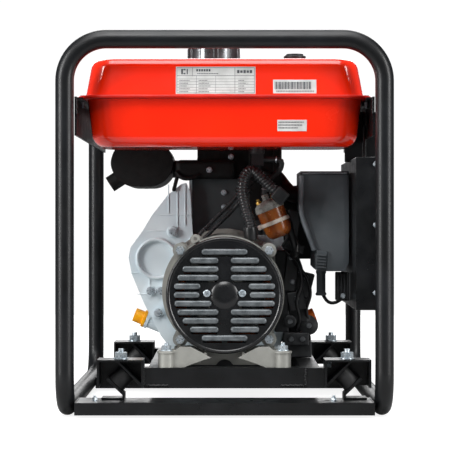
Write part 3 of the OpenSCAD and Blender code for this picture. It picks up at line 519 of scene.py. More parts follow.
class GeneratorLooks(bpy.types.PropertyGroup):
    """Sizes and colours of the pieces that are modelled here."""

    paint_code: bpy.props.StringProperty(name="Frame paint", description="sRGB hex of the frame's coat",
        default="090a0b")
    tank_code: bpy.props.StringProperty(name="Tank enamel", description="sRGB hex of the tank's enamel",
        default="ef1f01")
    tank_corner: bpy.props.FloatProperty(name="Tank corner", description="Radius of the tank's upright corners",
        default=0.038, min=0.02, max=0.06, unit="LENGTH", subtype="DISTANCE")
    tank_edge: bpy.props.FloatProperty(name="Tank top edge", description="Radius along the tank's top edge",
        default=0.013, min=0.005, max=0.02, unit="LENGTH", subtype="DISTANCE")
    tank_belly: bpy.props.FloatProperty(name="Tank belly", description="Radius along the tank's bottom edge",
        default=0.017, min=0.01, max=0.035, unit="LENGTH", subtype="DISTANCE")
    louvre_rise: bpy.props.FloatProperty(name="Louvre rise", description="How far a louvre stands out of its plate",
        default=0.0028, min=0.001, max=0.004, unit="LENGTH", subtype="DISTANCE")
    plate_edge: bpy.props.FloatProperty(name="Plate edge", description="Rounding on folded plate",
        default=0.0012, min=0.0003, max=0.003, unit="LENGTH", subtype="DISTANCE")
    cast_edge: bpy.props.FloatProperty(name="Casting edge", description="Rounding on castings",
        default=0.0018, min=0.0005, max=0.004, unit="LENGTH", subtype="DISTANCE")
    rib_pitch: bpy.props.FloatProperty(name="Conduit pitch", description="Spacing of the conduit's ribs",
        default=0.0042, min=0.002, max=0.006, unit="LENGTH", subtype="DISTANCE")
    eye_distance: bpy.props.FloatProperty(name="Camera distance", description="From the near hoop to the camera",
        default=2.55, min=1.0, max=6.0, unit="LENGTH", subtype="DISTANCE")
    key_power: bpy.props.FloatProperty(name="Key light", description="Power of each side light", default=54.0,
        min=1.0, max=400.0, unit="POWER")


# ---------- frame, cradle and plate ----------

def painted(nodes, finish):
    """CAD nodes that keep their shape and take a better finish."""
    for node in nodes:
        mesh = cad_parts[node].data
        mesh.materials.clear()
        mesh.materials.append(bpy.data.materials[finish])


class FrameTubes(bpy.types.Operator):
    """Coats the bent frame tubes"""

    bl_idname = "generator.frame_tubes"
    bl_label = "Frame tubes"

    def execute(self, context):
        painted(("near_hoop", "far_hoop", "bottom_rails"), "powder_coat_black")
        return {"FINISHED"}


def refine_all(table):
    for node, width, finish, slot, body in table:
        finished(refined(node, width), node + "_skin", finish, body, (node,))


class FoldedPlate(bpy.types.Operator):
    """Cradle, crossbars, tank rails and mount plates with rounded folds"""

    bl_idname = "generator.folded_plate"
    bl_label = "Cradle and plates"

    def execute(self, context):
        edge = looks().plate_edge
        refine_all((
            ("base_crossbars", edge * 1.6, "powder_coat_plate", "bracket_paint", FIXED),
            ("tank_rails", edge * 0.8, "powder_coat_plate", "bracket_paint", FIXED),
            ("engine_cradle", edge, "powder_coat_plate", "bracket_paint", FIXED),
            ("mount_brackets", edge * 0.4, "powder_coat_plate", "bracket_paint", FIXED),
        ))
        return {"FINISHED"}


# ---------- tank ----------

def rounded_block(size, at, corner, edge, top=True, lean=0.0):
    """A block with round upright corners, one face leaned in and its rim rounded."""
    piece = placed(cube(size, at))
    z_end = at[2] + (size[2] / 2 if top else -size[2] / 2)
    pick(piece, lambda a, b: abs(a.z - b.z) > size[2] * 0.9, "EDGE")
    bpy.ops.mesh.bevel(offset=corner, segments=9, affect="EDGES")
    done()
    pick(piece, lambda c, n: abs(n.z) > 0.9 and abs(c.z - z_end) < 1e-4)
    bpy.ops.transform.resize(value=(1 - 2 * lean / size[0], 1 - 2 * lean / size[1], 1),
        center_override=(at[0], at[1], z_end))
    done()
    pick(piece, lambda a, b: abs(a.z - z_end) < 1e-4 and abs(b.z - z_end) < 1e-4, "EDGE")
    bpy.ops.mesh.bevel(offset=edge, segments=7, affect="EDGES")
    done()
    return piece


class Tank(bpy.types.Operator):
    """Two pressed shells, their rolled seam and the filler neck"""

    bl_idname = "generator.tank"
    bl_label = "Fuel tank"

    def execute(self, context):
        c = looks()
        low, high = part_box("tank_upper_shell")
        seam = low[2]
        side, end = 0.205, 0.288
        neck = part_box("fuel_cap")
        cap = ((neck[0][0] + neck[1][0]) / 2, (neck[0][1] + neck[1][1]) / 2)
        roof = high[2] - 0.010
        height = roof - seam - 0.0015
        upper = rounded_block((2 * side, 2 * end, height), (0, 0, roof - height / 2), c.tank_corner, c.tank_edge,
            True, 0.010)
        throat = placed(cylinder(0.034, 0.014, (cap[0], cap[1], roof + 0.003), sides=64))
        upper = merged_with(upper, throat)
        finished(upper, "tank_upper", "tank_enamel", FIXED, ("tank_upper_shell",), 40)

        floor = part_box("tank_lower_shell")[0][2]
        depth = seam - floor - 0.0005
        deep_len = 0.154
        deep = rounded_block((2 * side - 0.004, deep_len, depth), (0, -end + deep_len / 2 + 0.0045, seam - depth / 2),
            c.tank_corner, c.tank_belly, False, 0.009)
        shallow = rounded_block((2 * side - 0.008, 2 * end - 0.0098, 0.0195), (0, 0, seam - 0.01),
            0.036, 0.010, False, 0.004)
        finished(merged_with(deep, shallow), "tank_lower", "tank_enamel", FIXED,
            ("tank_lower_shell",), 40)

        rim = placed(cube((high[0] - low[0] - 0.0004, 0.5896, 0.0052), (0, 0, seam)))
        pick(rim, lambda a, b: abs(a.z - b.z) > 0.004, "EDGE")
        bpy.ops.mesh.bevel(offset=0.041, segments=9, affect="EDGES")
        done()
        rounded(rim, 0.0022, 3, 50)
        tabs = []
        for x in (-1, 1):
            for y in (-0.24, 0.24):
                tab = cube((0.02, 0.022, 0.0028), (x * (high[0] - 0.0064), y, seam))
                tabs.append(rounded(placed(tab), 0.0009, 2))
        # The seam and its tabs take the deeper red: painted shade along the seam.
        finished(joined([rim] + tabs), "tank_seam", "tank_seam_painted_shade_enamel", FIXED, (), 40)
        return {"FINISHED"}


class CapAndGauge(bpy.types.Operator):
    """Chromed filler cap with grip flutes, and the float gauge"""

    bl_idname = "generator.cap_and_gauge"
    bl_label = "Fuel cap and gauge"

    def execute(self, context):
        low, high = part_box("fuel_cap")
        x, y = (low[0] + high[0]) / 2, (low[1] + high[1]) / 2
        tall = high[2] - 0.524
        body = placed(cylinder(0.0418, tall, (x, y, high[2] - tall / 2), sides=72))
        pick(body, lambda c, n: abs(n.z) < 0.2
            and int((math.degrees(math.atan2(c.y - y, c.x - x)) % 360) // 5) % 6 in (0, 1))
        bpy.ops.mesh.inset(thickness=0.0006, depth=-0.0016)
        done()
        pick(body, lambda c, n: n.z > 0.9)
        bpy.ops.mesh.inset(thickness=0.006)
        bpy.ops.transform.translate(value=(0, 0, -0.0015))
        bpy.ops.mesh.inset(thickness=0.012)
        bpy.ops.transform.translate(value=(0, 0, 0.0012))
        done()
        rounded(body, 0.0012, 3, 40)
        finished(body, "cap_body", "chrome_plate", "fuel_cap", ("fuel_cap",), 40)

        low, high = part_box("fuel_gauge")
        x, y = (low[0] + high[0]) / 2, (low[1] + high[1]) / 2
        roof = high[2] - 0.007
        base = placed(cylinder(0.0168, 0.004, (x, y, roof + 0.002), sides=48))
        rounded(base, 0.0008)
        bezel = placed(cylinder(0.013, 0.0045, (x, y, roof + 0.005), sides=48))
        pick(bezel, lambda c, n: n.z > 0.9)
        bpy.ops.mesh.inset(thickness=0.0022)
        bpy.ops.transform.translate(value=(0, 0, -0.0016))
        done()
        rounded(bezel, 0.0006)
        screws = [placed(cylinder(0.0016, 0.0012, (x + 0.0148 * math.cos(a), y + 0.0148 * math.sin(a), roof + 0.0042),
            sides=12)) for a in (0.5, 2.07, 3.64, 5.21)]
        float_rod = placed(cylinder(0.003, 0.03, (x, y, roof - 0.015), sides=16))
        finished(joined([base, bezel, float_rod] + screws), "gauge_body", "abs_black", FIXED,
            ("fuel_gauge",))
        needle = placed(cube((0.0012, 0.016, 0.0006), (x, y, roof + 0.006)))
        rounded(needle, 0.0002, 1)
        finished(needle, "gauge_needle", "thermoplastic_red")
        return {"FINISHED"}


class TankLabels(bpy.types.Operator):
    """Rating plate, bar strip and sticker, with plain marks in place of words"""

    bl_idname = "generator.tank_labels"
    bl_label = "Tank labels"

    def execute(self, context):
        def label(name, x, z, wide, high, lean, skin_y, marks):
            up = Vector((0, -math.sin(lean), math.cos(lean)))
            out = Vector((0, -math.cos(lean), -math.sin(lean)))
            middle = Vector((x, skin_y, z))
            film = placed(cube((wide / 1000, 0.0006, high / 1000), middle + out * 0.0003, (lean, 0, 0)))
            rounded(film, 0.0001, 1)
            finished(film, name, "label_film")
            inks = [placed(cube((w / 1000, 0.0003, h / 1000),
                middle + out * 0.0007 + Vector((u / 1000, 0, 0)) + up * (v / 1000), (lean, 0, 0)))
                for u, v, w, h in marks]
            finished(joined(inks), name + "_ink", "label_ink")

        plate = [(0, 19, 113, 0.5), (0, -19, 113, 0.5), (-56.5, 0, 0.5, 38), (56.5, 0, 0.5, 38), (0, 7, 113, 0.5)]
        plate += [(0, 2 - 4.2 * i, 113, 0.35) for i in range(5)] + [(-34, 13, 0.5, 12), (28, 0, 0.5, 38),
            (-28, -6, 0.35, 26), (0, -6, 0.35, 26)]
        plate += [(-49, 13, 2.4, 8), (-45.5, 16, 3, 2), (-45.5, 10, 3, 2), (-41.5, 13, 1.6, 8)]
        plate += [(-27 + 3.6 * i, 15, 2.6, 3.4) for i in range(6)]
        plate += [(-26 + 2.4 * i, 10, 1.8, 1.1) for i in range(13)]
        plate += [(33 + 4.6 * i, 13, 3.4, 4.6 - i % 2) for i in range(5)]
        for i in range(5):
            plate += [(-52 + 2.2 * k, -0.2 - 4.2 * i, 1.6, 1.0) for k in range(7 - i % 3)]
            plate += [(-24 + 2.2 * k, -0.2 - 4.2 * i, 1.6, 1.0) for k in range(6 + i % 3)]
            plate += [(34 + 2.2 * k, -0.2 - 4.2 * i, 1.6, 1.0) for k in range(4 + i % 2)]
        lean = -math.atan2(0.010, 0.0575)

        def skin_at(z):
            return -0.288 + 0.010 * (z - 0.4655) / 0.0575

        label("rating_plate", -0.013, 0.4895, 116, 41, lean, skin_at(0.4895), plate)
        bars, at = [], -29.0
        for wide, gap_after in zip((0.7, 1.4, 0.5, 0.9, 1.8, 0.6, 1.1, 0.5, 1.5, 0.8) * 3,
                (0.9, 0.6, 1.2, 0.5, 0.8) * 6):
            bars.append((at + wide / 2, 1.5, wide, 11))
            at += wide + gap_after
        bars += [(-26 + 2.3 * i, -7, 1.5, 1.6) for i in range(24)]
        label("bar_strip", 0.1022, 0.4803, 63, 20.5, lean, skin_at(0.4803), bars)
        notes = [(-19 + 2.2 * i, 5 - 4.2 * row, 1.6, 1.5) for row in range(3) for i in range((17, 16, 13)[row])]
        label("small_sticker", 0.0985, 0.424, 43, 16.5, math.atan2(0.009, 0.0715),
            -0.2835 + 0.009 * (0.4645 - 0.424) / 0.0715, notes)
        return {"FINISHED"}


# ---------- alternator ----------

ROWS = ((5, 0, 33.8), (4, 9, 51), (3, 9, 62), (2, 9, 69.5), (1, 35.5, 74.5), (0, 37, 74.8),
    (-1, 19, 74), (-2, 9, 69.5), (-3, 9, 62), (-4, 9, 51), (-5, 0, 33.8))
ROW_PITCH = 12.7


def louvre_places():
    for step, start, reach in ROWS:
        spans = [(-reach, reach)] if start == 0 else [(-reach, -start), (start, reach)]
        for a, b in spans:
            yield step * ROW_PITCH / 1000, a / 1000, b / 1000


class EndCover(bpy.types.Operator):
    """Pressed end cover with raised louvres over open slots"""

    bl_idname = "generator.end_cover"
    bl_label = "Alternator end cover"

    def execute(self, context):
        rise = looks().louvre_rise
        low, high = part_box("alternator_end_cover")
        zc = (low[2] + high[2]) / 2
        face = low[1] + rise + 0.0006
        back = high[1]
        wide = (high[0] - low[0]) / 2 - 0.0002
        dish = placed(cylinder(wide, back - face, (0, (face + back) / 2, zc), TO_NEAR, 128))
        pick(dish, lambda c, n: n.y < -0.9)
        bpy.ops.mesh.inset(thickness=0.0045)
        bpy.ops.mesh.inset(thickness=0.0012)
        bpy.ops.transform.translate(value=(0, 0.0008, 0))
        bpy.ops.mesh.inset(thickness=0.0605)
        bpy.ops.mesh.inset(thickness=0.004)
        bpy.ops.transform.translate(value=(0, -0.0026, 0))
        bpy.ops.mesh.inset(thickness=0.007)
        bpy.ops.transform.translate(value=(0, -0.0006, 0))
        done()
        pick(dish, lambda a, b: all(abs(p.y - face) < 1e-5 and abs(math.hypot(p.x, p.z - zc) - wide) < 1e-4
            for p in (a, b)), "EDGE")
        bpy.ops.mesh.bevel(offset=0.0032, segments=4, affect="EDGES")
        done()
        pick(dish, lambda c, n: n.y > 0.9)
        bpy.ops.mesh.delete(type="FACE")
        done()
        modified(dish, "SOLIDIFY", thickness=0.0014, offset=-1)
        slots = []
        for z, a, b in louvre_places():
            slots.append(placed(cube((b - a - 0.004, 0.02, 0.0030), ((a + b) / 2, face, zc + z - 0.0049))))
        cut(dish, slots)
        finished(dish, "end_cover_dish", "louvre_enamel", FIXED, ("alternator_end_cover",), 30)
        bars = []
        for z, a, b in louvre_places():
            bar = placed(cube((b - a, 0.0052, 0.0088), ((a + b) / 2, face - rise + 0.0026, zc + z + 0.0006)))
            pick(bar, lambda p, q: abs(p.y - q.y) > 0.004, "EDGE")
            bpy.ops.mesh.bevel(offset=0.0042, segments=4, affect="EDGES")
            done()
            pick(bar, lambda p, q: p.y < face - 0.001 and q.y < face - 0.001, "EDGE")
            bpy.ops.mesh.bevel(offset=0.0026, segments=4, affect="EDGES")
            done()
            bars.append(bar)
        # The bars take the paler enamel: a painted highlight on their crests.
        finished(joined(bars), "end_cover_louvres", "louvre_painted_highlight_enamel", FIXED, (), 60)
        screws = []
        for x in (-0.0261, 0.0261):
            head = placed(cylinder(0.0054, 0.0035, (x, face - 0.0012, zc + 0.003), TO_NEAR, 32))
            rounded(head, 0.0012, 3, 40)
            cross = [placed(cube((0.0062, 0.004, 0.0011), (x, face - 0.0034, zc + 0.003), (0, a, 0)))
                for a in (0.4, 0.4 + math.pi / 2)]
            screws.append(cut(head, cross))
        finished(joined(screws), "end_cover_screws", "zinc_plate")
        return {"FINISHED"}


class AlternatorBody(bpy.types.Operator):
    """Cast end brackets, stator core, windings and rotor"""

    bl_idname = "generator.alternator_body"
    bl_label = "Alternator body"

    def execute(self, context):
        edge = looks().cast_edge
        refine_all((
            ("alternator_end_bracket", edge * 0.6, "cast_bare", "cast_warm", FIXED),
            ("alternator_front_bracket", edge * 0.5, "cast_bare", "cast_warm", FIXED),
            ("rotor", 0.0006, "machined_steel", "machined", "crank"),
            ("bearings", 0.0005, "machined_steel", "machined", FIXED),
            ("stator_windings", 0.004, "enamelled_copper", "copper", FIXED),
        ))
        painted(("stator_core",), "stacked_laminations")
        apron = placed(cube((0.150, 0.016, 0.028), (0, -0.219, 0.084)))
        cut(apron, [cylinder(0.0862, 0.05, (0, -0.219, 0.175), TO_NEAR, 96),
            cylinder(0.014, 0.05, (0, -0.219, 0.064), TO_NEAR, 48)])
        rounded(apron, 0.0012, 2)
        arms = [apron]
        for side in (-1, 1):
            for x, z, wide, tilt in ((62, 92, 44, 0.0), (60, 75, 50, 0.12), (40, 84, 30, 0.35)):
                arms.append(rounded(placed(cube((wide / 1000, 0.030, 0.0045), (side * x / 1000, -0.238, z / 1000),
                    (0, side * tilt, 0))), 0.0012, 2))
            arms.append(turned([(12.4, 0), (13.4, 1), (13.4, 3.4), (12.4, 4.2)], (side * 0.086, -0.2515, 0.0888)))
        ear = turned([(7, 0), (7.6, 0.8), (7.6, 7), (7, 8)], (-0.0435, -0.228, 0.2575), TO_NEAR, 32)
        cut(ear, [cylinder(0.0028, 0.03, (-0.0435, -0.232, 0.2585), TO_NEAR, 24)])
        finished(joined(arms + [ear]), "bracket_arms", "cast_bare")
        return {"FINISHED"}


# ---------- engine ----------

class EngineCastings(bpy.types.Operator):
    """Crankcase, side cover, barrel, head and the parts inside them"""

    bl_idname = "generator.engine_castings"
    bl_label = "Engine castings"

    def execute(self, context):
        edge = looks().cast_edge
        refine_all((
            ("crankcase", edge, "cast_silver_paint", "cast_grey", FIXED),
            ("crankcase_cover", edge * 0.7, "cast_silver_paint", "cast_grey", FIXED),
            ("cylinder_barrel", edge * 0.3, "cast_dark_paint", "cast_dark", FIXED),
            ("cylinder_head", edge * 0.3, "cast_dark_paint", "cast_dark", FIXED),
            ("rocker_cover", edge, "cast_dark_paint", "steel_dark", FIXED),
            ("injection_pump", edge * 0.5, "cast_silver_paint", "cast_grey", FIXED),
            ("crankshaft", 0.0008, "machined_steel", "machined", "crank"),
            ("connecting_rod", 0.0008, "machined_steel", "machined", "rod"),
            ("piston", 0.0004, "turned_aluminium", "piston_alloy", "piston"),
            ("flywheel", 0.0008, "machined_steel", "machined", "crank"),
            ("decompression_lever", 0.0006, "zinc_plate", "zinc", "decompression_lever"),
            ("speed_lever", 0.0006, "zinc_plate", "zinc", "speed_lever"),
        ))
        return {"FINISHED"}


class EngineDetails(bpy.types.Operator):
    """Bolts, ribs and small castings that show on the engine's near side"""

    bl_idname = "generator.engine_details"
    bl_label = "Engine details"

    def execute(self, context):
        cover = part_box("crankcase_cover")[0][1]
        heads = [hex_bolt((x / 1000, cover + 0.001, z / 1000), TO_NEAR, 10) for x, z in
            ((-82, 268), (-116, 175), (-101, 175), (-104, 141))]
        heads += [hex_bolt((x / 1000, y / 1000, z / 1000), TO_NEAR, 7) for x, y, z in
            ((-1, -61, 307), (-1, -61, 330), (46, -61, 340), (-24, -88, 365), (10, -74, 386))]
        finished(joined(heads), "engine_bolts", "zinc_plate")
        ribs = [ring(0.0302, 0.0026, (-0.107, cover + 0.0012, 0.2255), TO_NEAR, 72, 10)]
        for x, z, wide, high in ((-82, 294, 52, 1.6), (-108, 269, 30, 1.6), (-136, 203, 22, 1.6), (-88, 320, 1.6, 44),
                (-74, 300, 1.6, 60), (-62, 310, 2.4, 64), (-118, 190, 1.6, 22), (-128, 170, 18, 1.4)):
            ribs.append(rounded(placed(cube((wide / 1000, 0.004, high / 1000), (x / 1000, cover + 0.0065, z / 1000))),
                0.0006, 2))
        ribs.append(turned([(9, 0), (8.4, 5), (7.4, 6)], (-0.082, cover + 0.005, 0.268), TO_NEAR, 32))
        ribs.append(turned([(30, 0), (30, 1.6), (26, 1.8), (25, 1.2), (4, 1.6)],
            (-0.107, cover + 0.0075, 0.2255), TO_NEAR, 72))
        finished(joined(ribs), "cover_ribs", "cast_silver_paint")
        edge = rounded(placed(cube((0.0042, 0.012, 0.088), (-0.0535, -0.0655, 0.309))), 0.001)
        finished(edge, "shroud_edge_strip", "cast_silver_paint")
        dark = [rounded(placed(cube(size, at, turn)), edge_round, 3) for size, at, turn, edge_round in (
            ((0.094, 0.026, 0.030), (-0.030, -0.074, 0.366), (0, 0, 0), 0.008),
            ((0.090, 0.006, 0.046), (0.002, -0.064, 0.378), (0, 0, 0), 0.002),
            ((0.012, 0.020, 0.066), (0.082, -0.074, 0.372), (0, 0, 0), 0.002),
            ((0.052, 0.008, 0.112), (0.064, -0.072, 0.342), (0, 0, 0), 0.002),
            ((0.036, 0.016, 0.022), (0.066, -0.074, 0.352), (0, 0.35, 0), 0.003),
            ((0.006, 0.008, 0.034), (-0.076, -0.084, 0.348), (0, 0.25, 0), 0.002),
            ((0.100, 0.004, 0.003), (0.002, -0.063, 0.3525), (0, 0, 0), 0.001))]
        dark.append(tube(smooth_path([(-76, -86, 362), (-66, -92, 352), (-50, -92, 352), (-40, -88, 358)], 0.004),
            0.003))
        finished(joined(dark), "exhaust_manifold", "silencer_heat_paint")
        low = [rounded(placed(cube(size, at, turn)), 0.0022, 3) for size, at, turn in (
            ((0.020, 0.010, 0.100), (0.1045, -0.0865, 0.252), (0, 0.12, 0)),
            ((0.036, 0.018, 0.078), (0.113, -0.080, 0.165), (0, 0, 0)),
            ((0.046, 0.018, 0.026), (0.114, -0.074, 0.0835), (0, 0, 0)),
            ((0.022, 0.006, 0.128), (0.0895, -0.0915, 0.175), (0, 0, 0)),
            ((0.020, 0.012, 0.062), (0.104, -0.096, 0.206), (0, 0.12, 0)),
            ((0.026, 0.020, 0.030), (0.112, -0.092, 0.160), (0, -0.2, 0)),
            ((0.018, 0.016, 0.040), (0.128, -0.084, 0.184), (0, 0.25, 0)),
            ((0.034, 0.010, 0.014), (0.108, -0.100, 0.244), (0, 0.3, 0)),
            ((0.040, 0.030, 0.020), (0.112, -0.080, 0.100), (0, 0, 0)))]
        low += [turned([(12, 0), (15, 1), (15, 5), (13, 6), (13, 30), (15, 31), (15, 36), (9, 38), (4, 40)],
            (0.132, -0.050, 0.121), TO_NEAR, 32),
            turned([(8, 0), (10, 1), (10, 22), (7, 24)], (0.102, -0.078, 0.128), TO_NEAR, 32)]
        finished(joined(low), "governor_and_solenoid", "cast_dark_paint")
        nuts = [hex_bolt((x / 1000, y / 1000, z / 1000), TO_NEAR, 6.5) for x, y, z in
            ((104, -102, 228), (106, -102, 190), (112, -102, 164), (128, -92, 196), (132, -90, 121), (102, -102, 128),
            (104, -95, 100), (122, -95, 100))]
        finished(joined(nuts), "governor_nuts", "machined_steel")
        return {"FINISHED"}


class SheetCovers(bpy.types.Operator):
    """Cooling shroud, fan housing, recoil cover, pulley and handle"""

    bl_idname = "generator.sheet_covers"
    bl_label = "Shroud, fan housing and recoil"

    def execute(self, context):
        edge = looks().cast_edge
        refine_all((
            ("cooling_shroud", edge * 0.4, "cowl_primer_grey", "steel_dark", FIXED),
            ("fan_housing", edge * 0.7, "cover_sheet_grey", "steel_dark", FIXED),
            ("recoil_cover", edge * 0.5, "cover_sheet_grey", "steel_dark", FIXED),
            ("recoil_pulley", 0.0006, "machined_steel", "machined", "recoil_pulley"),
            ("starter_handle", 0.0016, "nitrile_rubber", "black_plastic", "starter_handle"),
            ("starter_motor", 0.0012, "louvre_enamel", "steel_dark", FIXED),
        ))
        return {"FINISHED"}


class SmallParts(bpy.types.Operator):
    """Rubber mounts, fuel tap, oil fillers and caps, and the fastenings"""

    bl_idname = "generator.small_parts"
    bl_label = "Small parts"

    def execute(self, context):
        refine_all((
            ("rubber_mounts", 0.0012, "nitrile_rubber", "rubber", FIXED),
            ("fasteners", 0.0005, "zinc_plate", "zinc", FIXED),
            ("fuel_tap", 0.0006, "cast_dark_paint", "steel_dark", FIXED),
            ("fuel_tap_lever", 0.0008, "abs_black", "black_plastic", "fuel_tap_lever"),
            ("oil_cap_left", 0.0010, "polyamide_yellow", "yellow_plastic", "oil_cap_left"),
            ("oil_cap_right", 0.0010, "polyamide_orange", "orange_plastic", "oil_cap_right"),
        ))
        necks = finished(refined("oil_filler_necks", 0.0007), "oil_filler_necks_skin", "cast_silver_paint",
            FIXED, ("oil_filler_necks",))
        necks.data.materials.append(bpy.data.materials["abs_black"])
        pick(necks, lambda c, n: c.x > 0)
        necks.active_material_index = 1
        bpy.ops.object.material_slot_assign()
        done()
        return {"FINISHED"}


class FuelFilter(bpy.types.Operator):
    """Tilted see-through filter with its pleats, strap and bleed screw, and the fuel hoses"""

    bl_idname = "generator.fuel_filter"
    bl_label = "Fuel filter and hoses"

    def execute(self, context):
        lean = math.radians(-22.02)
        axis = Vector((math.sin(lean), 0, math.cos(lean)))
        foot = Vector((0.086, -0.160, 0.262))
        turn = (0, lean, 0)
        bowl = turned([(7, -1.5), (12.5, -0.6), (16.6, 1.8), (19.4, 6), (20.8, 12), (21.4, 24), (21.6, 44.4)],
            foot, turn)
        finished(bowl, "filter_bowl", "amber_nylon", FIXED, ("fuel_filter_bowl",), 50)
        core = turned([(13.5, 6), (17.6, 7), (17.6, 43), (13.5, 44)], foot, turn, 60)
        finished(core, "filter_pleats", "filter_paper", FIXED, (), 20)
        strap = turned([(21, 20.4), (22.6, 20.6), (22.9, 21.6), (22.9, 25.4), (22.6, 26.2), (21, 26.4)], foot, turn)
        lug = placed(cube((0.012, 0.010, 0.008), foot + axis * 0.023 + Vector((-0.0205, 0.012, -0.008)), turn))
        finished(joined([strap, rounded(lug, 0.002)]), "filter_strap", "natural_nylon")
        hood = turned([(21, 42.6), (22.6, 43), (22.8, 45), (22.4, 49), (21, 53), (17, 56.6), (8, 58.4), (6.4, 60),
            (5, 60.6), (5, 62), (6, 62.6), (5, 63.4), (5, 65), (6, 65.6), (4.6, 68)], foot, turn)
        side = turned([(4, 0), (4, 30), (4.9, 30.6), (4, 32), (4, 34)], foot + axis * 0.051, (-math.pi / 2, 0, 0), 24)
        finished(joined([hood, side]), "filter_hood", "smoke_nylon", FIXED, ("fuel_filter_head",), 50)
        across = Vector((math.cos(lean), 0, -math.sin(lean)))
        bleed = hex_bolt(foot + axis * 0.0545 - across * 0.0125, turn, 8.5, 6.5, True)
        vent = turned([(3, 0), (3, 9), (2, 10)], foot + axis * 0.054 + across * 0.010, turn, 16)
        finished(joined([bleed, vent]), "filter_bleed_screw", "cast_brass")
        top = foot + axis * 0.068
        runs = (
            ([(73.5, -175, 378), (86, -175, 376), (84, -171, 362), (70, -165, 350), (62, -161, 336),
                tuple(top * 1000)], 4),
            ([(66.9, -125.8, 309.3), (66.9, -106, 309), (74, -80, 298), (76, -60, 291), (76, -40.2, 290)], 4),
            ([(76, -29, 318.2), (76, -29, 345), (72, -32, 378), (62, -36, 404), (53, -37, 408), (49, -37, 398)], 2.5),
        )
        hoses = [tube(smooth_path(line, 0.004), wide / 1000) for line, wide in runs]
        finished(joined(hoses), "fuel_lines", "nitrile_rubber", FIXED, ("fuel_hoses",), 60)
        clips = []
        for line, wide in runs:
            path = smooth_path(line, 0.004)
            for a, b in ((path[1], path[2]), (path[-3], path[-2])):
                clip = ring((wide + 0.5) / 1000, 0.0008, (0, 0, 0), around=24, section=6)
                aim = (b - a).to_track_quat("Z", "Y").to_matrix().to_4x4()
                clips.append(copied(clip, Matrix.Translation(a) @ aim))
                bpy.data.objects.remove(clip)
        finished(joined(clips), "hose_clips", "zinc_plate")
        return {"FINISHED"}


class ExhaustAndIntake(bpy.types.Operator):
    """Silencer, air cleaner and intake elbow"""

    bl_idname = "generator.exhaust_and_intake"
    bl_label = "Silencer and air cleaner"

    def execute(self, context):
        refine_all((
            ("muffler", 0.0015, "silencer_heat_paint", "heat_paint", FIXED),
            ("air_cleaner_case", 0.003, "polypropylene_charcoal", "grey_plastic", FIXED),
            ("intake_elbow", 0, "nitrile_rubber", "rubber", FIXED),
        ))
        lid = refined("air_cleaner_cover", 0)
        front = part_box("air_cleaner_cover")[0][1]
        pick(lid, lambda c, n: n.y < -0.95 and abs(c.y - front) < 1e-4)
        bpy.ops.mesh.inset(thickness=0.010, depth=0.0)
        done()
        pick(lid, lambda a, b: abs(a.y - front) < 1e-4 and abs(b.y - front) < 1e-4 and
            min(a.x - 0.116, 0.361 - a.z, min(b.x - 0.116, 0.361 - b.z)) < 0.0002 and
            abs(min(a.x, b.x) - 0.190) > 0.02, "EDGE")
        bpy.ops.transform.translate(value=(0, 0.007, 0))
        done()
        rounded(lid, 0.0016, 3)
        finished(lid, "air_cleaner_lid", "polypropylene_charcoal", FIXED,
            ("air_cleaner_cover",), 30)
        rim = ring(0.0475, 0.0022, (0, 0, 0), TO_NEAR, 96, 8)
        rim.scale = (1, 0.76, 1)
        placed(rim)
        rims = [copied(rim, Matrix.Translation((-0.131, y, 0.377))) for y in (-0.056, 0.116)]
        bpy.data.objects.remove(rim)
        finished(joined(rims), "silencer_seams", "silencer_heat_paint")
        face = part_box("air_cleaner_cover")[0][1]
        clip = [rounded(placed(cube((0.017, 0.007, 0.030), (0.1475, face - 0.001, 0.2245), (0, 0.1, 0))), 0.0014)]
        clip += [rounded(placed(cube((0.014, 0.004, 0.0024), (0.1475, face - 0.0055, 0.214 + 0.0046 * i),
            (0, 0.1, 0))), 0.0008) for i in range(5)]
        clip += [turned([(7.2, 0), (8.4, 1), (8.4, 4), (7, 5), (7, 34), (8, 35), (8, 39), (6, 40)],
            (0.150, -0.110, 0.169), (0, 0, 0), 32)]
        # A bead along the lid's left and top edges in the paler polypropylene: a painted highlight on the lit bevel.
        lip = [tube(smooth_path([(117, face * 1000, 354), (117, face * 1000, 330), (117, face * 1000, 302),
            (121, face * 1000, 284), (129, face * 1000, 262), (137, face * 1000, 240)], 0.004), 0.0040)]
        lip += [tube(smooth_path([(119, face * 1000, 357), (150, face * 1000, 358), (186, face * 1000, 358)], 0.01),
            0.0012)]
        finished(joined(lip), "air_cleaner_lip", "polypropylene_painted_highlight", FIXED, (), 60)
        finished(joined(clip), "air_cleaner_clip", "polypropylene_charcoal", FIXED, (), 45)
        return {"FINISHED"}


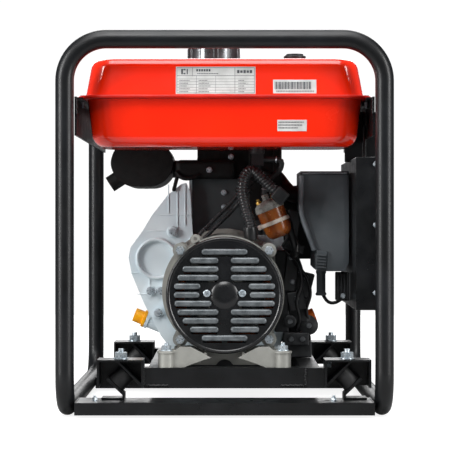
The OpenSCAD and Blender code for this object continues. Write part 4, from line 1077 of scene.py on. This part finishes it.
class RegulatorAndWelds(bpy.types.Operator):
    """Voltage regulator, its bolt, the screws in the base and the weld beads"""

    bl_idname = "generator.regulator_and_welds"
    bl_label = "Regulator, screws and welds"

    def execute(self, context):
        box = rounded(placed(cube((0.020, 0.030, 0.044), (0.1815, -0.128, 0.184))), 0.0018)
        fins = [rounded(placed(cube((0.0024, 0.008, 0.040), (0.174 + 0.005 * i, -0.146, 0.184))), 0.0006, 2)
            for i in range(4)]
        finished(joined([box] + fins), "regulator", "cast_dark_paint")
        box_end, box_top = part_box("control_box")[0][1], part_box("control_box")[1][2]
        hangers = [rounded(placed(cube((wide, 0.003, 0.078), (x, -0.118, box_top - 0.013))), 0.0009, 2)
            for x, wide in ((0.2002, 0.028), (0.2272, 0.019))]
        finished(joined(hangers), "box_hangers", "powder_coat_plate")
        grip_low, grip_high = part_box("starter_handle")
        rope_y, rope_z = (grip_low[1] + grip_high[1]) / 2, grip_high[2] - 0.012
        tail = turned([(2, 0), (2, 19), (1.2, 20)], (0.0365, rope_y, rope_z), (0, math.pi / 2, 0), 16)
        finished(tail, "starter_rope_tail", "abs_black", "starter_handle")
        guide = turned([(3.2, 0), (9, 0), (9, 2), (6.5, 4), (6.5, 27), (8.5, 30), (8.5, 32), (3.2, 32)],
            (-0.062, rope_y, rope_z), (0, -math.pi / 2, 0), 48)
        finished(guide, "starter_rope_guide", "abs_black")
        stay = rounded(placed(cube((0.056, 0.004, 0.118), (0.122, -0.010, 0.283))), 0.0012, 2)
        pick(stay, lambda a, b: abs(a.y - b.y) > 0.003 and a.z > 0.33, "EDGE")
        bpy.ops.mesh.bevel(offset=0.008, segments=4, affect="EDGES")
        done()
        finished(stay, "air_cleaner_stay", "powder_coat_plate")
        screws = [hex_bolt((0.2228, box_end, z), TO_NEAR, 6.0) for z in (0.3686, 0.2787, 0.1784)]
        screws += [hex_bolt((0.1815, -0.1505, 0.170), TO_NEAR, 6)]
        screws += [hex_bolt((x, -0.272, 0.022), (0, 0, 0), 7, 4.5, True) for x in (-0.190, 0.160)]
        screws += [hex_bolt((0.150, -0.245, 0.0735), (0, math.pi / 2, 0), 11, 8)]
        finished(joined(screws), "small_screws", "zinc_plate")
        nothing_selected()
        bpy.ops.mesh.primitive_uv_sphere_add(segments=8, ring_count=5, radius=0.0021)
        drop = placed(bpy.context.object)
        seams = []
        for side in (-1, 1):
            seams += [((side * 114, -266, 43), (side * 84, -266, 43)),
                ((side * 119, -266, 44), (side * 119, -266, 66)),
                ((side * 119, 168, 44), (side * 119, 168, 66)), ((side * 215, -308, 20), (side * 215, -246, 20)),
                ((side * 215, 116, 20), (side * 215, 186, 20)), ((side * 214, -312, 440), (side * 214, -312, 462)),
                ((side * 214, 312, 440), (side * 214, 312, 462))]
        drops = []
        for a, b in seams:
            a, b = Vector(a) / 1000, Vector(b) / 1000
            count = int((b - a).length / 0.0024)
            for i in range(count + 1):
                wander = Vector((0, 0, 0.0005 * math.sin(i * 2.1))) if abs(a.z - b.z) < 0.001 else \
                    Vector((0.0005 * math.sin(i * 2.1), 0, 0))
                drops.append(copied(drop, Matrix.Translation(a.lerp(b, i / count) + wander)))
        bpy.data.objects.remove(drop)
        finished(joined(drops), "weld_beads", "powder_coat_plate", FIXED, (), 60)
        return {"FINISHED"}


class Wiring(bpy.types.Operator):
    """Ribbed conduit from the alternator"""

    bl_idname = "generator.wiring"
    bl_label = "Wiring"

    def execute(self, context):
        pitch = looks().rib_pitch
        main = ribbed([(39, -212, 267), (38, -208, 282), (32, -203, 302), (27, -199, 324), (27, -197, 340),
            (31, -194, 353), (37, -192, 360), (44, -191, 360), (54, -191, 351), (66, -191, 339),
            (79, -192, 327)], 0.0073, pitch, 0.0016)
        cables = [ribbed([(-36 - s, -128, 260 + s), (-20 - s, -128, 276 + s), (8 - s, -130, 304 + s),
            (36 - s, -138, 336 + s)], 0.0030, pitch * 0.8, 0.0007) for s in (-3.4, 3.4)]
        finished(joined([main] + cables), "conduit_run", "conduit_polyethylene", FIXED,
            ("wiring_conduit",), 50)
        sleeve = turned([(9.2, -6), (10.2, -4), (10.2, 12), (9.2, 14)], (0.039, -0.212, 0.262), (0.12, -0.05, 0), 32)
        plugs = [rounded(placed(cube((0.022, 0.020, 0.022), (0.0835, -0.192, 0.3225), (0, 0.7, 0))), 0.003),
            rounded(placed(cube((0.016, 0.014, 0.030), (0.030, -0.118, 0.338), (0, 0.7, 0))), 0.002)]
        loose = [tube(smooth_path(line, 0.004), 0.0026) for line in (
            [(96, -104, 238), (114, -112, 218), (120, -110, 190), (112, -104, 160), (117, -96, 132), (112, -88, 112)],
            [(104, -100, 226), (126, -104, 200), (134, -100, 172), (128, -92, 146), (132, -84, 128)],
            [(150, -108, 176), (160, -112, 160), (172, -112, 158), (184, -118, 166)],
            [(90, -110, 246), (104, -124, 262), (112, -140, 252), (112, -148, 236)])]
        loose.append(tube(smooth_path([(92, -130, 300), (98, -140, 284), (102, -146, 266), (108, -140, 244),
            (106, -120, 232)], 0.004), 0.0055))
        finished(joined([sleeve] + plugs + loose), "cable_ends", "abs_black", FIXED, (), 50)
        return {"FINISHED"}


class ControlBox(bpy.types.Operator):
    """Control box, panel, outlets, lids, switches and instruments"""

    bl_idname = "generator.control_box"
    bl_label = "Control box"

    def execute(self, context):
        refine_all((
            ("control_box", 0.0018, "powder_coat_plate", "steel_dark", FIXED),
            ("ac_sockets", 0.0008, "polycarbonate_blue", "socket_blue", FIXED),
            ("socket_lid_near", 0.0008, "polycarbonate_blue", "socket_blue", "socket_lid_near"),
            ("socket_lid_far", 0.0008, "polycarbonate_blue", "socket_blue", "socket_lid_far"),
            ("key_switch", 0.0005, "zinc_plate", "zinc", "key_switch"),
            ("breaker_toggle", 0.0006, "abs_black", "black_plastic", "breaker_toggle"),
            ("reset_button", 0.0005, "thermoplastic_red", "red_plastic", "reset_button"),
            ("panel_instruments", 0.0008, "abs_black", "black_plastic", FIXED),
        ))
        painted(("control_panel",), "polypropylene_charcoal")
        low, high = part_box("control_panel")
        face = high[0]
        mid_y, mid_z = (low[1] + high[1]) / 2, (low[2] + high[2]) / 2
        wide, tall = high[1] - low[1], high[2] - low[2]
        trim = [rounded(placed(cube(size, at)), 0.0008, 2) for size, at in (
            ((0.003, wide, 0.008), (face + 0.0008, mid_y, high[2] - 0.0042)),
            ((0.003, wide, 0.008), (face + 0.0008, mid_y, low[2] + 0.0042)),
            ((0.003, 0.008, tall - 0.016), (face + 0.0008, low[1] + 0.0042, mid_z)),
            ((0.003, 0.008, tall - 0.016), (face + 0.0008, high[1] - 0.0042, mid_z)),
            ((0.002, 0.0016, tall - 0.016), (face + 0.0004, -0.085 + 0.02, mid_z)),
            ((0.002, 0.175, 0.0016), (face + 0.0004, -0.157, 0.268)))]
        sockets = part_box("socket_lid_near"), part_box("socket_lid_far")
        for a, b in sockets:
            y, z = (a[1] + b[1]) / 2, 0.211
            for turn_z in (0, 1):
                guard = cube((0.005, 0.0045, 0.062), (face + 0.002, y + (turn_z - 0.5) * 0.0615, z))
                trim.append(rounded(placed(guard), 0.001, 2))
        for y, z, size in ((-0.132, 0.317, 0.031), (0.031, 0.318, 0.014), (-0.054, 0.318, 0.008),
                (-0.042, 0.211, 0.011), (0.008, 0.211, 0.010)):
            trim.append(ring(size, 0.0012, (face + 0.0006, y, z), (0, math.pi / 2, 0), 48, 8))
        finished(joined(trim), "panel_trim", "abs_black")
        corners = [turned([(3.4, 0), (3.4, 1.2), (2.4, 2)], (face + 0.002, y, z), (0, math.pi / 2, 0), 20)
            for y in (low[1] + 0.0042, mid_y, high[1] - 0.0042) for z in (low[2] + 0.0042, high[2] - 0.0042)]
        finished(joined(corners), "panel_screws", "zinc_plate")
        places = ((-0.132, 0.276, 9), (-0.192, 0.254, 8), (-0.112, 0.254, 8), (0.031, 0.296, 6),
            (-0.054, 0.300, 5), (-0.042, 0.188, 6), (0.008, 0.190, 5), (0.046, 0.238, 7), (0.046, 0.196, 4))
        marks = []
        for y, z, long in places:
            marks.append(placed(cube((0.0006, long * 0.0036, 0.0075), (face + 0.0001, y, z))))
        finished(joined(marks), "panel_labels", "label_film")
        inks = []
        for y, z, long in places:
            for i in range(long - 1):
                inks.append(placed(cube((0.0004, 0.0022, 0.003 - 0.0006 * (i % 2)),
                    (face + 0.0005, y + (i - (long - 2) / 2) * 0.0034, z))))
        finished(joined(inks), "panel_label_ink", "label_ink")
        return {"FINISHED"}


# ---------- stage ----------

class Stage(bpy.types.Operator):
    """Pale floor, soft lights and the camera"""

    bl_idname = "generator.stage"
    bl_label = "Stage"

    def execute(self, context):
        c = looks()
        scene = context.scene
        nothing_selected()
        bpy.ops.mesh.primitive_plane_add(size=1, location=(0, 0.85, -0.0005))
        floor = bpy.context.object
        floor.scale = (2.8, 3.5, 1)
        pick(floor, lambda c, n: True)
        bpy.ops.mesh.subdivide(number_cuts=3)
        done()
        placed(floor)
        smooth(floor, 60)
        floor.name = "studio_floor"
        floor.data.materials.append(bpy.data.materials["studio_floor"])

        world = bpy.data.worlds.new("soft_studio")
        world.use_nodes = True
        tree = world.node_tree
        sky = tree.nodes["Background"]
        sky.inputs["Color"].default_value = (1, 1, 1, 1)
        sky.inputs["Strength"].default_value = 1.05
        fill = add(tree, "ShaderNodeBackground", Color=(0.92, 0.95, 1, 1), Strength=0.12)
        path = add(tree, "ShaderNodeLightPath")
        both = add(tree, "ShaderNodeMixShader", {"Fac": path.outputs["Is Camera Ray"]})
        tree.links.new(fill.outputs[0], both.inputs[1])
        tree.links.new(sky.outputs[0], both.inputs[2])
        tree.links.new(both.outputs[0], tree.nodes["World Output"].inputs["Surface"])
        scene.world = world
        middle = Vector((0, 0, 0.28))

        def softbox(name, at, size, power, tall=None):
            lamp = bpy.data.lights.new(name, "AREA")
            lamp.shape = "RECTANGLE"
            lamp.size = size
            lamp.size_y = tall or size
            lamp.energy = power
            holder = bpy.data.objects.new(name, lamp)
            scene.collection.objects.link(holder)
            holder.location = at
            holder.rotation_euler = (middle - Vector(at)).to_track_quat("-Z", "Y").to_euler()

        softbox("left_softbox", (-2.1, -1.5, 0.9), 0.55, c.key_power, 1.8)
        softbox("right_softbox", (2.1, -1.5, 0.9), 0.55, c.key_power * 0.8, 1.8)
        softbox("top_softbox", (0, -0.6, 2.4), 1.8, c.key_power * 0.9)
        softbox("front_softbox", (-0.3, -2.5, 2.9), 1.4, c.key_power * 1.1)
        softbox("back_softbox", (0, 3.0, 1.8), 2.4, c.key_power * 1.2)

        lens = bpy.data.cameras.new("camera")
        lens.lens = 141.6
        lens.sensor_width = 36
        lens.clip_end = 100
        lens.shift_x = 0.0009
        lens.shift_y = -0.002
        eye = bpy.data.objects.new("camera", lens)
        scene.collection.objects.link(eye)
        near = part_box("near_hoop")
        eye.location = (0, (near[0][1] + near[1][1]) / 2 - c.eye_distance, 0.28)
        eye.rotation_euler = (math.pi / 2, 0, 0)  # looks along +y
        scene.camera = eye
        scene.view_settings.view_transform = "Standard"
        return {"FINISHED"}


class GeneratorPanel(bpy.types.Panel):
    """Lists the pieces in the order in which they are built"""

    bl_idname = "VIEW3D_PT_generator"
    bl_label = "Portable generator"
    bl_space_type = "VIEW_3D"
    bl_region_type = "UI"
    bl_category = "Generator"

    def draw(self, context):
        for name in GeneratorLooks.__annotations__:
            self.layout.prop(context.scene.generator_looks, name)
        for kind in PIECES:
            self.layout.operator(kind.bl_idname)


PIECES = (Stage, FrameTubes, FoldedPlate, Tank, CapAndGauge, TankLabels, EndCover, AlternatorBody, EngineCastings,
    EngineDetails, SheetCovers, SmallParts, FuelFilter, ExhaustAndIntake, RegulatorAndWelds, Wiring, ControlBox)
CLASSES = (GeneratorLooks,) + PIECES + (GeneratorPanel,)


def register():
    for kind in CLASSES:
        bpy.utils.register_class(kind)
    bpy.types.Scene.generator_looks = bpy.props.PointerProperty(type=GeneratorLooks)


def unregister():
    del bpy.types.Scene.generator_looks
    for kind in reversed(CLASSES):
        bpy.utils.unregister_class(kind)


def main():
    register()
    make_materials()
    for kind in PIECES:
        group, call = kind.bl_idname.split(".")
        getattr(getattr(bpy.ops, group), call)()
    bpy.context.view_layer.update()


if __name__ == "__main__":
    main()
